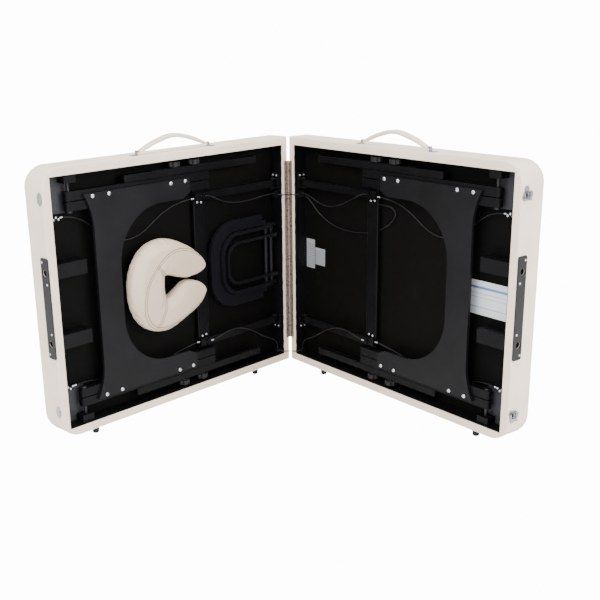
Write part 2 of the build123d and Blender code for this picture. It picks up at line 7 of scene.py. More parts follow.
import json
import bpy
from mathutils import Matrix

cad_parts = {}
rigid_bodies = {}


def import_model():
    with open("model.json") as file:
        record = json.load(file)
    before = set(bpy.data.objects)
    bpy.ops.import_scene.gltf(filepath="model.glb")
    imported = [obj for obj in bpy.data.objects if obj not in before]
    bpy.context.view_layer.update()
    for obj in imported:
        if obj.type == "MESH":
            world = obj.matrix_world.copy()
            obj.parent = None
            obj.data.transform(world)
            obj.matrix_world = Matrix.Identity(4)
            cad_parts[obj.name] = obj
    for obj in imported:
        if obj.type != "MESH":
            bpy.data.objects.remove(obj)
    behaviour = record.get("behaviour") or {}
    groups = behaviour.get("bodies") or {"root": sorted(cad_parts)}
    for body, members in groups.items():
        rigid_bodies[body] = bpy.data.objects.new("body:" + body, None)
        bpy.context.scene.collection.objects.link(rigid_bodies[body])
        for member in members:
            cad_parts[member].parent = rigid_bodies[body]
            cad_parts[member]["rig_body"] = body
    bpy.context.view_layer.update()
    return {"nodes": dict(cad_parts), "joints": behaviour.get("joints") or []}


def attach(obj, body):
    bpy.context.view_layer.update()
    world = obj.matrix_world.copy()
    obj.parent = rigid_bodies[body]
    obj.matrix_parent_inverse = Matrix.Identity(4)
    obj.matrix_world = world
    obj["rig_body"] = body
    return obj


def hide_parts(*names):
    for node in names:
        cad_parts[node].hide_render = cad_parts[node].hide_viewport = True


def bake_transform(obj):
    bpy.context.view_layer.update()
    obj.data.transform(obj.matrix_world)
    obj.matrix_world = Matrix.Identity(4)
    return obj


bl_info = {
    "name": "Portable Massage Table",
    "version": (1, 0, 0),
    "blender": (4, 5, 0),
    "location": "View3D > Sidebar > Massage Table",
    "description": "Builds the soft parts, hardware and finishes of a folding massage table",
    "category": "Add Mesh",
}

from math import atan2, cos, pi, radians, sin, sqrt

import bmesh
import bpy
from bpy.props import FloatProperty, FloatVectorProperty, PointerProperty
from mathutils import Matrix, Vector, noise
from mathutils.bvhtree import BVHTree

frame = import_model()

MM = 0.001
SIDES = ("left", "right")
OPENING = radians(41.24)
JOINTS = {joint["name"]: joint for joint in frame["joints"]}
HINGE = Vector(JOINTS["table_fold"]["pos_m"])

HINGE_GAP = 3.8
HALF_LENGTH = 927.0
LOW_Z, HIGH_Z = 16.0, 778.0
MID_Z = (LOW_Z + HIGH_Z) / 2
THICKNESS = 110.0
DECK_TOP_T = 52.0
DECK_T = 48.0
CORNER_RADIUS = 60.0
EDGE_RADIUS = 34.0
HINGE_EDGE_RADIUS = 6.0
RIM_ROLL = 4.0
RIM_S = (30.0, 902.5)
RIM_Z = (41.5, 752.5)
UNDERSIDE_T = 0.3
CUT_EDGE_T = (1.45, 0.35)
LINING = 1.6
STAPLE_INSET, STAPLE_T = 6.0, 0.42
SOCKET_T, SOCKET_OFFSET, SOCKET_RADIUS = 21.0, 100.0, 9.5
PIVOT_S, PIVOT_T, PIVOT_HEAD_Z = 834.0, 24.0, 249.0
HINGE_SEAT_HALF = 303.5
LEAF_SEAT_S = 19.2
LEAF_BACK_T = 1.6


# ---------------------------------------------------------------- settings
def length(name, default, description):
    return FloatProperty(name=name, description=description, default=default, unit="LENGTH")


def angle(name, degrees, description):
    return FloatProperty(name=name, description=description, default=radians(degrees), subtype="ANGLE")


def number(name, default, description):
    return FloatProperty(name=name, description=description, default=default)


def colour_of(name, default, description):
    return FloatVectorProperty(name=name, description=description, default=default, subtype="COLOR")


class PaddingSettings(bpy.types.PropertyGroup):
    crown: length("Crown", 0.006, "Rise of the padded top at its middle")
    pucker: length("Pucker", 0.0009, "Depth of the gathers at the outer corners")
    pressure: number("Cushion pressure", 4.0, "Air pressure that fills the face cushion")
    swell: length("Cushion swell", 0.012, "The most that the face cushion may swell")
    staple_gap: length("Staple gap", 0.026, "Distance between staples in the rim")
    stitch_gap: length("Stitch gap", 0.0042, "Distance from one stitch to the next")


class HardwareSettings(bpy.types.PropertyGroup):
    bolt_radius: length("Panel bolt", 0.006, "Radius of the panel bolts' heads")
    screw_radius: length("Wood screw", 0.0034, "Radius of the small screws' heads")
    cable: length("Cable", 0.0032, "Diameter of the brace cables")


class FinishSettings(bpy.types.PropertyGroup):
    vinyl: colour_of("Vinyl", (0.95, 0.79, 0.635), "Colour of the upholstery")
    cushion: colour_of("Cushion", (0.67, 0.53, 0.39), "Colour of the face cushion")
    lacquer: colour_of("Lacquer", (0.0055, 0.0054, 0.0066), "Colour of the leg panels and rails")


class StageSettings(bpy.types.PropertyGroup):
    lens: number("Lens", 55.75, "Focal length on a 36 mm sensor")
    distance: length("Distance", 3.0496, "From the camera to the hinge line")
    aside: length("Aside", 0.11892, "The camera's place beside the plane of symmetry")
    height: length("Height", 1.10067, "The camera's height above the floor")
    pitch: angle("Pitch", 17.21, "How far the camera looks down")
    yaw: angle("Yaw", -4.29, "How far the camera turns to its right")
    roll: angle("Roll", -1.29, "Tilt of the camera about its own axis")
    shift_x: number("Shift X", 0.0698, "Sideways lens shift")
    shift_y: number("Shift Y", 0.0339, "Upward lens shift")
    daylight: number("Daylight", 1.5, "Strength of the light from all round")
    backdrop: number("Backdrop", 14.0, "Brightness of the plain backdrop")


# ---------------------------------------------------------------- node graphs and their arithmetic
class Value:
    """A node's output that takes part in plain arithmetic."""

    def __init__(self, graph, socket):
        self.graph = graph
        self.socket = socket

    def maths(self, operation, *terms):
        return self.graph.node("ShaderNodeMath", {"operation": operation}, dict(enumerate(terms)))

    def __add__(self, other):
        return self.maths("ADD", self, other)

    def __radd__(self, other):
        return self.maths("ADD", other, self)

    def __sub__(self, other):
        return self.maths("SUBTRACT", self, other)

    def __rsub__(self, other):
        return self.maths("SUBTRACT", other, self)

    def __mul__(self, other):
        return self.maths("MULTIPLY", self, other)

    def __rmul__(self, other):
        return self.maths("MULTIPLY", other, self)


class Graph:
    """Adds nodes to a shader or geometry tree."""

    def __init__(self, tree):
        self.tree = tree

    def node(self, kind, settings=None, sockets=None, output=0):
        """One node: its settings first, then the values or links of its sockets, by name or number."""
        made = self.tree.nodes.new(kind)
        for name, value in (settings or {}).items():
            setattr(made, name, value)
        for key, value in (sockets or {}).items():
            self.plug(made.inputs[key], value)
        return Value(self, made.outputs[output])

    def plug(self, socket, value):
        if isinstance(value, Value):
            self.tree.links.new(value.socket, socket)
        else:
            socket.default_value = value

    def place(self, scale=(1, 1, 1)):
        """Object coordinates, stretched by scale."""
        here = self.node("ShaderNodeTexCoord", output="Object")
        return self.node("ShaderNodeMapping", None, {"Vector": here, "Scale": scale})

    def noise(self, scale, detail=2.0, roughness=0.5, stretch=(1, 1, 1)):
        return self.node("ShaderNodeTexNoise", None, {
            "Vector": self.place(stretch), "Scale": scale, "Detail": detail, "Roughness": roughness})

    def cells(self, scale):
        return self.node("ShaderNodeTexVoronoi", None, {"Vector": self.place(), "Scale": scale})

    def step(self, value, low, high, to_low=0.0, to_high=1.0):
        """A smooth step from to_low to to_high as value goes from low to high."""
        return self.node("ShaderNodeMapRange", {"interpolation_type": "SMOOTHSTEP"}, {
            "Value": value, "From Min": low, "From Max": high, "To Min": to_low, "To Max": to_high})

    def mix(self, factor, first, second):
        """A blend of two colours."""
        colours = {0: factor, 6: opaque(first), 7: opaque(second)}
        return self.node("ShaderNodeMix", {"data_type": "RGBA"}, colours, output=2)

    def bump(self, height, distance, strength=1.0, under=None):
        sockets = {"Height": height, "Distance": distance, "Strength": strength}
        if under is not None:
            sockets["Normal"] = under
        return self.node("ShaderNodeBump", None, sockets)


def opaque(colour):
    return colour if isinstance(colour, Value) else (*colour[:3], 1.0)


def tinted(colour, factor):
    return tuple(min(1.0, channel * factor) for channel in colour[:3])


# ---------------------------------------------------------------- finishes
FINISHES = {}


def finish_of(name, paint):
    """A material made once: paint(graph) gives the values of the Principled shader's sockets."""
    if name not in FINISHES:
        made = bpy.data.materials.new(name)
        made.use_nodes = True
        surface = made.node_tree.nodes["Principled BSDF"]
        graph = Graph(made.node_tree)
        for socket, value in paint(graph).items():
            graph.plug(surface.inputs[socket], value)
        FINISHES[name] = made
    return FINISHES[name]


def vinyl_paint(colour):
    """Soft upholstery vinyl: pebbled grain with painted shade in its dips, faint changes of tone and a low
    sheen.
    """
    def paint(graph):
        cloud = graph.noise(9.0, 3.0)
        pebble = graph.cells(1150.0)
        crease = graph.noise(420.0, 3.0, 0.6)
        shade = graph.mix(graph.step(cloud, 0.35, 0.65), tinted(colour, 0.95), tinted(colour, 1.03))
        # painted shade: the colour is darkened a little at the pebble cells' middles, where the grain's bump
        # dips
        pore_shade = graph.step(pebble, 0.0, 0.35, 0.06, 0.0)
        shade = graph.mix(pore_shade, shade, tinted(colour, 0.6))
        broad = graph.bump(graph.noise(34.0, 2.0), 0.0012, 0.25)
        grain = graph.bump(pebble * 0.6 + crease * 0.8, 0.00022, 0.55, broad)
        return {"Base Color": shade, "Roughness": 0.40 + cloud * 0.12, "Normal": grain,
                "Sheen Weight": 0.12, "Sheen Roughness": 0.5, "Specular IOR Level": 0.42}
    return paint


def lacquer_paint(colour, gloss, grain_strength, shine):
    """Black lacquer over wood: fine grain, dust nibs and a patchy gloss."""
    def paint(graph):
        grain = graph.noise(95.0, 4.0, 0.6, (1.0, 1.0, 5.0))
        orange_peel = graph.noise(260.0, 1.0)
        patch = graph.noise(7.0, 3.0)
        nib = graph.step(graph.cells(240.0), 0.0, 0.05, 1.0, 0.0)
        shade = graph.mix(graph.step(patch, 0.3, 0.7), tinted(colour, 0.8), tinted(colour, 1.25))
        shade = graph.mix(nib * 0.25, shade, (0.08, 0.08, 0.08))
        height = grain * grain_strength + orange_peel * 0.3
        return {"Base Color": shade, "Roughness": gloss + patch * 0.16,
                "Normal": graph.bump(height, 0.00018, 0.45), "Specular IOR Level": shine}
    return paint


def board_paint(graph):
    """Matt black board with a faint fibre."""
    fibre = graph.noise(160.0, 5.0, 0.65, (1.0, 1.0, 0.25))
    scuff = graph.step(graph.noise(14.0, 6.0, 0.7), 0.58, 0.74)
    shade = graph.mix(fibre, (0.0012, 0.0011, 0.001), (0.0035, 0.0033, 0.003))
    shade = graph.mix(scuff * 0.25, shade, (0.009, 0.0085, 0.008))
    return {"Base Color": shade, "Roughness": 0.55 + fibre * 0.2,
            "Normal": graph.bump(fibre, 0.0003, 0.5), "Specular IOR Level": 0.07}


def gusset_paint(graph):
    """Coarse textured black coating; its lighter flecks are painted glints where the specks catch the light.
    """
    glint_fleck = graph.noise(330.0, 3.0, 0.7)
    # painted glints: the flecks lift the base colour from near black to grey
    return {"Base Color": graph.mix(glint_fleck, (0.003, 0.003, 0.004), (0.050, 0.051, 0.060)),
            "Roughness": 0.32 + glint_fleck * 0.3, "Normal": graph.bump(glint_fleck, 0.0007, 0.9),
            "Specular IOR Level": 0.35}


def metal_paint(colour, gloss, spots=0.0, stain=(0.2, 0.17, 0.14)):
    """Plated steel: rolled streaks, cloudy gloss and, where asked, dark stains."""
    def paint(graph):
        cloud = graph.noise(55.0, 4.0, 0.6)
        streak = graph.noise(420.0, 2.0, 0.5, (1.0, 1.0, 0.12))
        blot = graph.step(graph.noise(150.0, 5.0, 0.7), 0.5, 0.62)
        shade = graph.mix(cloud, tinted(colour, 0.82), tinted(colour, 1.1))
        if spots:
            shade = graph.mix(blot * spots, shade, stain)
        return {"Base Color": shade, "Metallic": 1.0 - blot * (0.6 * spots),
                "Roughness": gloss + cloud * 0.16 + streak * 0.08,
                "Normal": graph.bump(streak + blot * spots, 0.00008, 0.4)}
    return paint


def moulded_paint(colour, gloss):
    """Moulded plastic or rubber with a spark-eroded texture."""
    def paint(graph):
        spark = graph.noise(1500.0, 2.0, 0.7)
        cloud = graph.noise(30.0, 2.0)
        return {"Base Color": graph.mix(cloud, tinted(colour, 0.85), tinted(colour, 1.2)),
                "Roughness": gloss + spark * 0.12,
                "Normal": graph.bump(spark, 0.00012, 0.5), "Specular IOR Level": 0.22}
    return paint


def cable_paint(graph):
    """Black plastic jacket with the strands just showing through."""
    lay = graph.node("ShaderNodeTexWave", {"bands_direction": "DIAGONAL"},
                     {"Vector": graph.place(), "Scale": 330.0, "Distortion": 0.0})
    dust = graph.noise(60.0, 3.0)
    return {"Base Color": graph.mix(dust, (0.006, 0.006, 0.007), (0.016, 0.016, 0.018)),
            "Roughness": 0.28 + dust * 0.1, "Normal": graph.bump(lay, 0.00025, 0.5),
            "Specular IOR Level": 0.3, "Coat Weight": 0.08}


def backing_paint(graph):
    """Woven backing at the vinyl's cut edge."""
    weave = graph.noise(1400.0, 2.0)
    return {"Base Color": graph.mix(weave, (0.62, 0.56, 0.36), (0.80, 0.74, 0.55)),
            "Roughness": 0.9, "Normal": graph.bump(weave, 0.0003, 0.6)}


def thread_paint(colour):
    """Twisted sewing thread."""
    def paint(graph):
        twist = graph.noise(2600.0, 1.0)
        return {"Base Color": graph.mix(twist, tinted(colour, 0.8), tinted(colour, 1.15)),
                "Roughness": 0.6, "Normal": graph.bump(twist, 0.0001, 0.6)}
    return paint


def foam_paint(graph):
    """Open-cell foam."""
    cells = graph.cells(700.0)
    return {"Base Color": graph.mix(cells, (0.80, 0.74, 0.52), (0.9, 0.85, 0.66)),
            "Roughness": 0.95, "Normal": graph.bump(cells, 0.0006, 0.8)}


BAND_BLUR = 0.004


def label_paint(paper, bands):
    """A blank printed label: paper with plain bands of tint across its height, (low, high, colour)."""
    def paint(graph):
        up = graph.node("ShaderNodeSeparateXYZ", None,
                        {"Vector": graph.node("ShaderNodeUVMap", {"uv_map": "label"})}, output="Y")
        fibre = graph.noise(700.0, 2.0)
        shade = graph.mix(fibre, tinted(paper, 0.92), tinted(paper, 1.05))
        for low, high, colour in bands:
            inside = (graph.step(up, low - BAND_BLUR, low + BAND_BLUR)
                      * graph.step(up, high - BAND_BLUR, high + BAND_BLUR, 1.0, 0.0))
            shade = graph.mix(inside, shade, colour)
        return {"Base Color": shade, "Roughness": 0.38 + fibre * 0.15,
                "Normal": graph.bump(fibre, 0.00005, 0.3), "Coat Weight": 0.15}
    return paint


def settings():
    return bpy.context.scene.massage_table


def finishes():
    """Every finish of the table by its slot name."""
    look = settings().finish
    lacquer = tuple(look.lacquer)
    recipes = {
        "black_wood": lacquer_paint(tinted(lacquer, 0.6), 0.34, 1.2, 0.12),
        "black_panel": lacquer_paint(lacquer, 0.36, 0.6, 0.17),
        "deck_board": board_paint,
        "foam": foam_paint,
        "cream_vinyl": vinyl_paint(tuple(look.vinyl)),
        "cushion_vinyl": vinyl_paint(tuple(look.cushion)),
        "zinc_steel": metal_paint((0.72, 0.74, 0.76), 0.2),
        "black_plastic": moulded_paint((0.012, 0.012, 0.013), 0.34),
        "black_rubber": moulded_paint((0.014, 0.014, 0.014), 0.62),
        "hinge_steel": metal_paint((0.36, 0.31, 0.27), 0.36, 0.95, (0.05, 0.042, 0.036)),
        "chrome_trim": metal_paint((0.46, 0.46, 0.48), 0.08, 0.35, (0.06, 0.06, 0.065)),
        "black_steel": metal_paint((0.045, 0.045, 0.05), 0.34),
        "black_cable": cable_paint,
        "knob_plastic": moulded_paint((0.014, 0.014, 0.015), 0.36),
        "cradle_black": moulded_paint((0.005, 0.005, 0.007), 0.3),
    }
    return {slot: finish_of(slot, paint) for slot, paint in recipes.items()}


# ---------------------------------------------------------------- meshes in a half's frame
def half_matrix(side, unit=MM):
    """Takes (s, t, z) in a half's flat frame to its place in the table."""
    mirrored = -1.0 if side == "left" else 1.0
    return Matrix((
        (mirrored * sin(OPENING) * unit, mirrored * cos(OPENING) * unit, 0, 0),
        (-cos(OPENING) * unit, sin(OPENING) * unit, 0, HINGE.y),
        (0, 0, unit, 0),
        (0, 0, 0, 1),
    ))


def object_of(name, mesh, finish=None):
    made = bpy.data.objects.new(name, mesh)
    bpy.context.scene.collection.objects.link(made)
    if finish is not None:
        mesh.materials.append(finish)
    return made


def piece(name, mesh, body, slot, replaced=(), finish=None):
    """A finished piece: it rides on a body, takes a finish and stands for CAD nodes."""
    mesh.materials.clear()
    made = object_of(name, mesh, finish or finishes()[slot])
    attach(made, body)
    if replaced:
        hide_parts(*replaced)
    return made


def smooth_mesh(name, bm, smooth):
    """A mesh of the bmesh, shaded smooth but for edges sharper than smooth degrees."""
    mesh = bpy.data.meshes.new(name)
    bm.to_mesh(mesh)
    bm.free()
    mesh.shade_smooth()
    mesh.set_sharp_from_angle(angle=radians(smooth))
    return mesh


def mesh_from(name, bm, side=None, smooth=40.0, unit=MM):
    """Closes a bmesh into a mesh, in the half's place where side is given."""
    bmesh.ops.remove_doubles(bm, verts=bm.verts, dist=1e-4 if unit == MM else 1e-7)
    bmesh.ops.recalc_face_normals(bm, faces=bm.faces)
    if side:
        bmesh.ops.transform(bm, matrix=half_matrix(side, unit), verts=bm.verts)
        if side == "left":
            bmesh.ops.reverse_faces(bm, faces=bm.faces)
    return smooth_mesh(name, bm, smooth)


def bake(made):
    """The object's evaluated mesh, with its modifiers applied and the object removed."""
    bpy.context.view_layer.update()
    evaluated = made.evaluated_get(bpy.context.evaluated_depsgraph_get())
    mesh = bpy.data.meshes.new_from_object(evaluated)
    mesh.name = made.name
    bpy.data.objects.remove(made)
    return mesh


def stack(bm, loops, cap_first=False, cap_last=False):
    """Skins closed loops of equal length, one after the other."""
    rings = [[bm.verts.new(point) for point in loop] for loop in loops]
    count = len(rings[0])
    for low, high in zip(rings, rings[1:]):
        for i in range(count):
            j = (i + 1) % count
            bm.faces.new((low[i], low[j], high[j], high[i]))
    if cap_first:
        bm.faces.new(reversed(rings[0]))
    if cap_last:
        bm.faces.new(rings[-1])
    return rings


def lathe(bm, profile, axis_matrix, count=24):
    """Turns (radius, height) points about an axis; the first and last radius may be 0."""
    loops = []
    for radius, height in profile:
        size = max(radius, 1e-3)
        turns = [2 * pi * i / count for i in range(count)]
        loops.append([axis_matrix @ Vector((size * cos(turn), size * sin(turn), height)) for turn in turns])
    stack(bm, loops, cap_first=True, cap_last=True)


def sweep(bm, points, sections):
    """Carries a section (width, height, corner radius) along points; there is one section to a point."""
    up = Vector((0, 1, 0))
    loops = []
    for i, point in enumerate(points):
        ahead = Vector(points[min(i + 1, len(points) - 1)]) - Vector(points[max(i - 1, 0)])
        side = ahead.cross(up).normalized()
        width, height, radius = sections[i]
        loop = []
        for corner, (su, sv) in enumerate(((1, 1), (-1, 1), (-1, -1), (1, -1))):
            for k in range(4):
                turn = pi / 2 * (corner + k / 3)
                u = su * (width / 2 - radius) + radius * cos(turn)
                v = sv * (height / 2 - radius) + radius * sin(turn)
                loop.append(Vector(point) + up * u + side * v)
        loops.append(loop)
    stack(bm, loops, cap_first=True, cap_last=True)


# ---------------------------------------------------------------- geometry node trees
def tree_of(name, lay):
    """A geometry tree that lays copies of a shape: lay(graph, given) gives their points, turns and size."""
    tree = bpy.data.node_groups.new(name, "GeometryNodeTree")
    kinds = {"Geometry": "Geometry", "Shape": "Object", "Measure": "Float"}
    for socket, kind in kinds.items():
        tree.interface.new_socket(socket, in_out="INPUT", socket_type="NodeSocket" + kind)
    tree.interface.new_socket("Geometry", in_out="OUTPUT", socket_type="NodeSocketGeometry")
    graph = Graph(tree)
    entry = tree.nodes.new("NodeGroupInput")
    given = {socket: Value(graph, entry.outputs[socket]) for socket in kinds}
    shape = graph.node("GeometryNodeObjectInfo", {"transform_space": "ORIGINAL"},
                       {"Object": given["Shape"]}, output="Geometry")
    placed = graph.node("GeometryNodeInstanceOnPoints", None, {"Instance": shape, **lay(graph, given)})
    real = graph.node("GeometryNodeRealizeInstances", None, {"Geometry": placed})
    graph.plug(tree.nodes.new("NodeGroupOutput").inputs["Geometry"], real)
    return tree


def on_points(graph, given):
    """A shape at every point of a mesh, turned to the point's aim; the measure is its size."""
    aim = graph.node("GeometryNodeInputNamedAttribute", {"data_type": "FLOAT_VECTOR"}, {"Name": "aim"})
    roll = graph.node("GeometryNodeInputNamedAttribute", {"data_type": "FLOAT"}, {"Name": "roll"})
    facing = graph.node("FunctionNodeAlignRotationToVector", {"axis": "Z"}, {"Vector": aim})
    spin = graph.node("FunctionNodeAxisAngleToRotation", None, {"Axis": (0, 0, 1), "Angle": roll})
    turned = graph.node("FunctionNodeRotateRotation", {"rotation_space": "LOCAL"},
                        {"Rotation": facing, "Rotate By": spin})
    return {"Points": given["Geometry"], "Rotation": turned, "Scale": given["Measure"]}


def along_curve(graph, given):
    """Short dashes, such as stitches or staples, along curves; the measure is the gap between them."""
    spread = graph.node("GeometryNodeCurveToPoints", {"mode": "LENGTH"},
                        {"Curve": given["Geometry"], "Length": given["Measure"]})
    return {"Points": spread, "Rotation": Value(graph, spread.socket.node.outputs["Rotation"])}


def laid(name, data, lay, shape, measure):
    """The plain mesh that a geometry tree makes of a mesh's points or of curves."""
    made = object_of(name, data)
    modifier = made.modifiers.new(lay.__name__, "NODES")
    modifier.node_group = bpy.data.node_groups.get(lay.__name__) or tree_of(lay.__name__, lay)
    values = {"Shape": shape, "Measure": measure}
    for item in modifier.node_group.interface.items_tree:
        if item.in_out == "INPUT" and item.name in values:
            modifier[item.identifier] = values[item.name]
    return bake(made)


def repeated(name, shape, spots, size):
    """One mesh of a shape repeated at (place, aim, roll) spots, in metres."""
    mesh = bpy.data.meshes.new(name)
    mesh.from_pydata([tuple(place) for place, _, _ in spots], [], [])
    mesh.attributes.new("aim", "FLOAT_VECTOR", "POINT")
    mesh.attributes.new("roll", "FLOAT", "POINT")
    for i, (_, aim, roll) in enumerate(spots):
        mesh.attributes["aim"].data[i].vector = aim
        mesh.attributes["roll"].data[i].value = roll
    return laid(name, mesh, on_points, shape, size)


def new_curve(name, kind, lines):
    """A curve of one open spline to a line of points."""
    curve = bpy.data.curves.new(name, "CURVE")
    curve.dimensions = "3D"
    for line in lines:
        spline = curve.splines.new(kind)
        spline.points.add(len(line) - 1)
        for target, point in zip(spline.points, line):
            target.co = (*point, 1.0)
    return curve


def smooth_line(points, count):
    """A smooth NURBS curve led by the given control points."""
    curve = new_curve("line", "NURBS", [points])
    spline = curve.splines[0]
    spline.order_u = 3
    spline.use_endpoint_u = True
    spline.resolution_u = count
    return curve


def dashed(name, lines, dash, gap):
    """One mesh of dashes laid along lines of points, in metres."""
    return laid(name, new_curve(name, "POLY", lines), along_curve, dash, gap)


SHAPES = {}


def shape_object(name, build):
    """A hidden shape that the trees repeat, made once around the origin with its top along +Z."""
    if name not in SHAPES:
        bm = bmesh.new()
        build(bm)
        bmesh.ops.recalc_face_normals(bm, faces=bm.faces)
        SHAPES[name] = bpy.data.objects.new(name, smooth_mesh(name, bm, 38))
    return SHAPES[name]


def crossed_head(bm):
    """A domed screw head of radius 1 with a crossed recess."""
    count = 16
    rings = [(1.0, -0.15), (1.0, 0.1), (0.88, 0.32), (0.66, 0.47), (0.52, 0.52), (0.16, 0.56)]
    loops = [[(r * cos(2 * pi * i / count), r * sin(2 * pi * i / count), h) for i in range(count)]
             for r, h in rings]
    made = stack(bm, loops, cap_first=True, cap_last=True)
    last, before = made[-1], made[-2]
    arms = [face for face in bm.faces
            if all(v in last or v in before for v in face.verts) and len(face.verts) == 4
            and any(before.index(v) % 4 == 0 for v in face.verts if v in before)
            and not any(before.index(v) % 4 == 3 for v in face.verts if v in before)]
    middle = [face for face in bm.faces if len(face.verts) == count and all(v in last for v in face.verts)]
    sunk = bmesh.ops.extrude_face_region(bm, geom=arms + middle)
    bmesh.ops.delete(bm, geom=arms + middle, context="FACES")
    moved = [v for v in sunk["geom"] if isinstance(v, bmesh.types.BMVert)]
    bmesh.ops.translate(bm, verts=moved, vec=(0, 0, -0.3))


def socket_head(bm):
    """A low domed bolt head of radius 1 with a hexagon socket."""
    count = 18
    rings = [(1.0, -0.1), (1.0, 0.12), (0.93, 0.3), (0.75, 0.43), (0.5, 0.5)]
    loops = [[(r * cos(2 * pi * i / count), r * sin(2 * pi * i / count), h) for i in range(count)]
             for r, h in rings]
    for depth in (0.5, 0.2):
        hexagon = []
        for i in range(count):
            turn = 2 * pi * i / count
            flat = 0.34 / cos((turn % (pi / 3)) - pi / 6)
            hexagon.append((flat * cos(turn), flat * sin(turn), depth))
        loops.append(hexagon)
    stack(bm, loops, cap_first=True, cap_last=True)


def box_shape(width, depth, height):
    def build(bm):
        bmesh.ops.create_cube(bm, size=1.0)
        bmesh.ops.scale(bm, vec=(width, depth, height), verts=bm.verts)
        bmesh.ops.bevel(bm, geom=list(bm.edges), offset=min(width, depth, height) * 0.3, segments=1,
                        affect="EDGES")
    return build


# ---------------------------------------------------------------- stage
class MT_OT_stage(bpy.types.Operator):
    """Sets up the floor, the soft lights and the camera"""
    bl_idname = "massage_table.stage"
    bl_label = "Stage"

    def execute(self, context):
        given = settings().stage
        camera = bpy.data.cameras.new("camera")
        camera.lens = given.lens
        camera.sensor_width = 36.0
        camera.shift_x, camera.shift_y = given.shift_x, given.shift_y
        holder = bpy.data.objects.new("camera", camera)
        context.scene.collection.objects.link(holder)
        flat = cos(given.pitch)
        ahead = Vector((sin(given.yaw) * flat, cos(given.yaw) * flat, -sin(given.pitch)))
        across = Vector((cos(given.yaw), -sin(given.yaw), 0))
        upward = across.cross(ahead)
        right = cos(given.roll) * across + sin(given.roll) * upward
        top = -sin(given.roll) * across + cos(given.roll) * upward
        place = Matrix.Translation((given.aside, HINGE.y - given.distance, given.height))
        holder.matrix_world = place @ Matrix((right, top, -ahead)).transposed().to_4x4()
        context.scene.camera = holder

        bm = bmesh.new()
        bmesh.ops.create_grid(bm, x_segments=1, y_segments=1, size=30.0)
        paint = finish_of("floor_paint", lambda graph: {
            "Base Color": graph.mix(graph.noise(3.0), (0.86, 0.86, 0.86), (0.89, 0.89, 0.89)),
            "Roughness": 0.75})
        self.whiten(paint.node_tree, "Principled BSDF", "Material Output", given.backdrop)
        object_of("floor", mesh_from("floor", bm, unit=1.0), paint)

        world = bpy.data.worlds.new("studio")
        world.use_nodes = True
        world.node_tree.nodes["Background"].inputs["Color"].default_value = (1.0, 1.0, 1.0, 1.0)
        world.node_tree.nodes["Background"].inputs["Strength"].default_value = given.daylight
        self.whiten(world.node_tree, "Background", "World Output", given.backdrop)
        context.scene.world = world
        for name, spot, size, power in (
            ("key_light", (-1.6, -2.6, 3.2), 2.2, 135.0),
            ("fill_light", (2.8, -1.9, 2.0), 2.6, 125.0),
            ("top_light", (0.0, 0.6, 3.6), 3.0, 60.0),
        ):
            lamp = bpy.data.lights.new(name, "AREA")
            lamp.shape, lamp.size, lamp.energy = "DISK", size, power
            lamp_holder = bpy.data.objects.new(name, lamp)
            lamp_holder.location = spot
            aim = Vector((0, 0, 0.4)) - Vector(spot)
            lamp_holder.rotation_euler = aim.to_track_quat("-Z", "Y").to_euler()
            context.scene.collection.objects.link(lamp_holder)
        return {"FINISHED"}

    def whiten(self, tree, shader, output, strength):
        """Shows a plain white backdrop and leaves the light that falls on the table as it is."""
        kind = "Emission" if output == "Material Output" else "Background"
        white = tree.nodes.new("ShaderNode" + kind)
        white.inputs["Strength"].default_value = strength
        white.inputs["Color"].default_value = (1.0, 1.0, 1.0, 1.0)
        path, choice = tree.nodes.new("ShaderNodeLightPath"), tree.nodes.new("ShaderNodeMixShader")
        tree.links.new(path.outputs["Is Camera Ray"], choice.inputs[0])
        tree.links.new(tree.nodes[shader].outputs[0], choice.inputs[1])
        tree.links.new(white.outputs[0], choice.inputs[2])
        tree.links.new(choice.outputs[0], tree.nodes[output].inputs["Surface"])


# ---------------------------------------------------------------- cables
OUTER_TOP = [(388.4, 24.5, 625), (408, 24.7, 625), (434, 30, 621), (464, 36, 613), (497, 39.5, 599),
             (530, 41, 580), (562, 42, 557), (600, 42, 540), (645, 42, 536), (690, 41, 548),
             (730, 39, 575), (764, 36, 603), (800, 32, 626), (840, 28.6, 637.6), (867.8, 28, 638)]
OUTER_BOTTOM = [(388.4, 24.5, 169), (408, 24.8, 168.8), (436, 31, 161), (472, 38, 152), (512, 41.5, 139),
                (552, 42, 124), (596, 42, 112), (642, 42, 108), (688, 42, 113), (730, 42, 126),
                (768, 40.5, 142), (802, 35, 153), (840, 28.6, 156.2), (867.8, 28, 156)]
INNER_TOP_LEFT = [(351.6, 16.5, 629), (334, 16.4, 628.5), (306, 14, 614), (268, 18, 599), (222, 21, 590),
                  (176, 22, 588), (130, 21, 591), (92, 18, 596), (64, 17.1, 597), (46.2, 17, 597)]
INNER_TOP_RIGHT = [(351.6, 16.5, 629), (334, 16.4, 628.5), (306, 14, 614), (268, 18, 596), (226, 21, 579),
                   (184, 22.5, 568), (142, 22.5, 569), (106, 20, 582), (78, 17.6, 595), (46.2, 17, 598.8)]
SLACK_TOP_RIGHT = [(46.2, 22, 588), (68, 22.4, 587), (88, 26, 568), (108, 30, 546), (134, 34, 526),
                   (170, 38, 508), (212, 41, 499), (258, 43, 496), (304, 44.5, 499), (350, 44.5, 508),
                   (398, 44.3, 526), (436, 43, 553), (454, 41, 577), (445, 37.5, 596), (422, 35.6, 600.6),
                   (388.4, 35.5, 600)]
INNER_BOTTOM = [(351.6, 16.5, 165), (334, 16.4, 165.4), (306, 12.6, 173), (272, 12, 181), (236, 12, 181),
                (200, 12, 171), (164, 13, 153), (132, 14, 132), (102, 15, 115), (74, 16.5, 103),
                (54, 17.6, 90), (45, 18, 76), (44.6, 18, 60.2)]
CROSS_RUN = [(41.5, 17), (41, 8), (36, -1), (25, -5.5)]
CROSS_MIDDLE = -17.0
CROSS_SHORT = 5.6


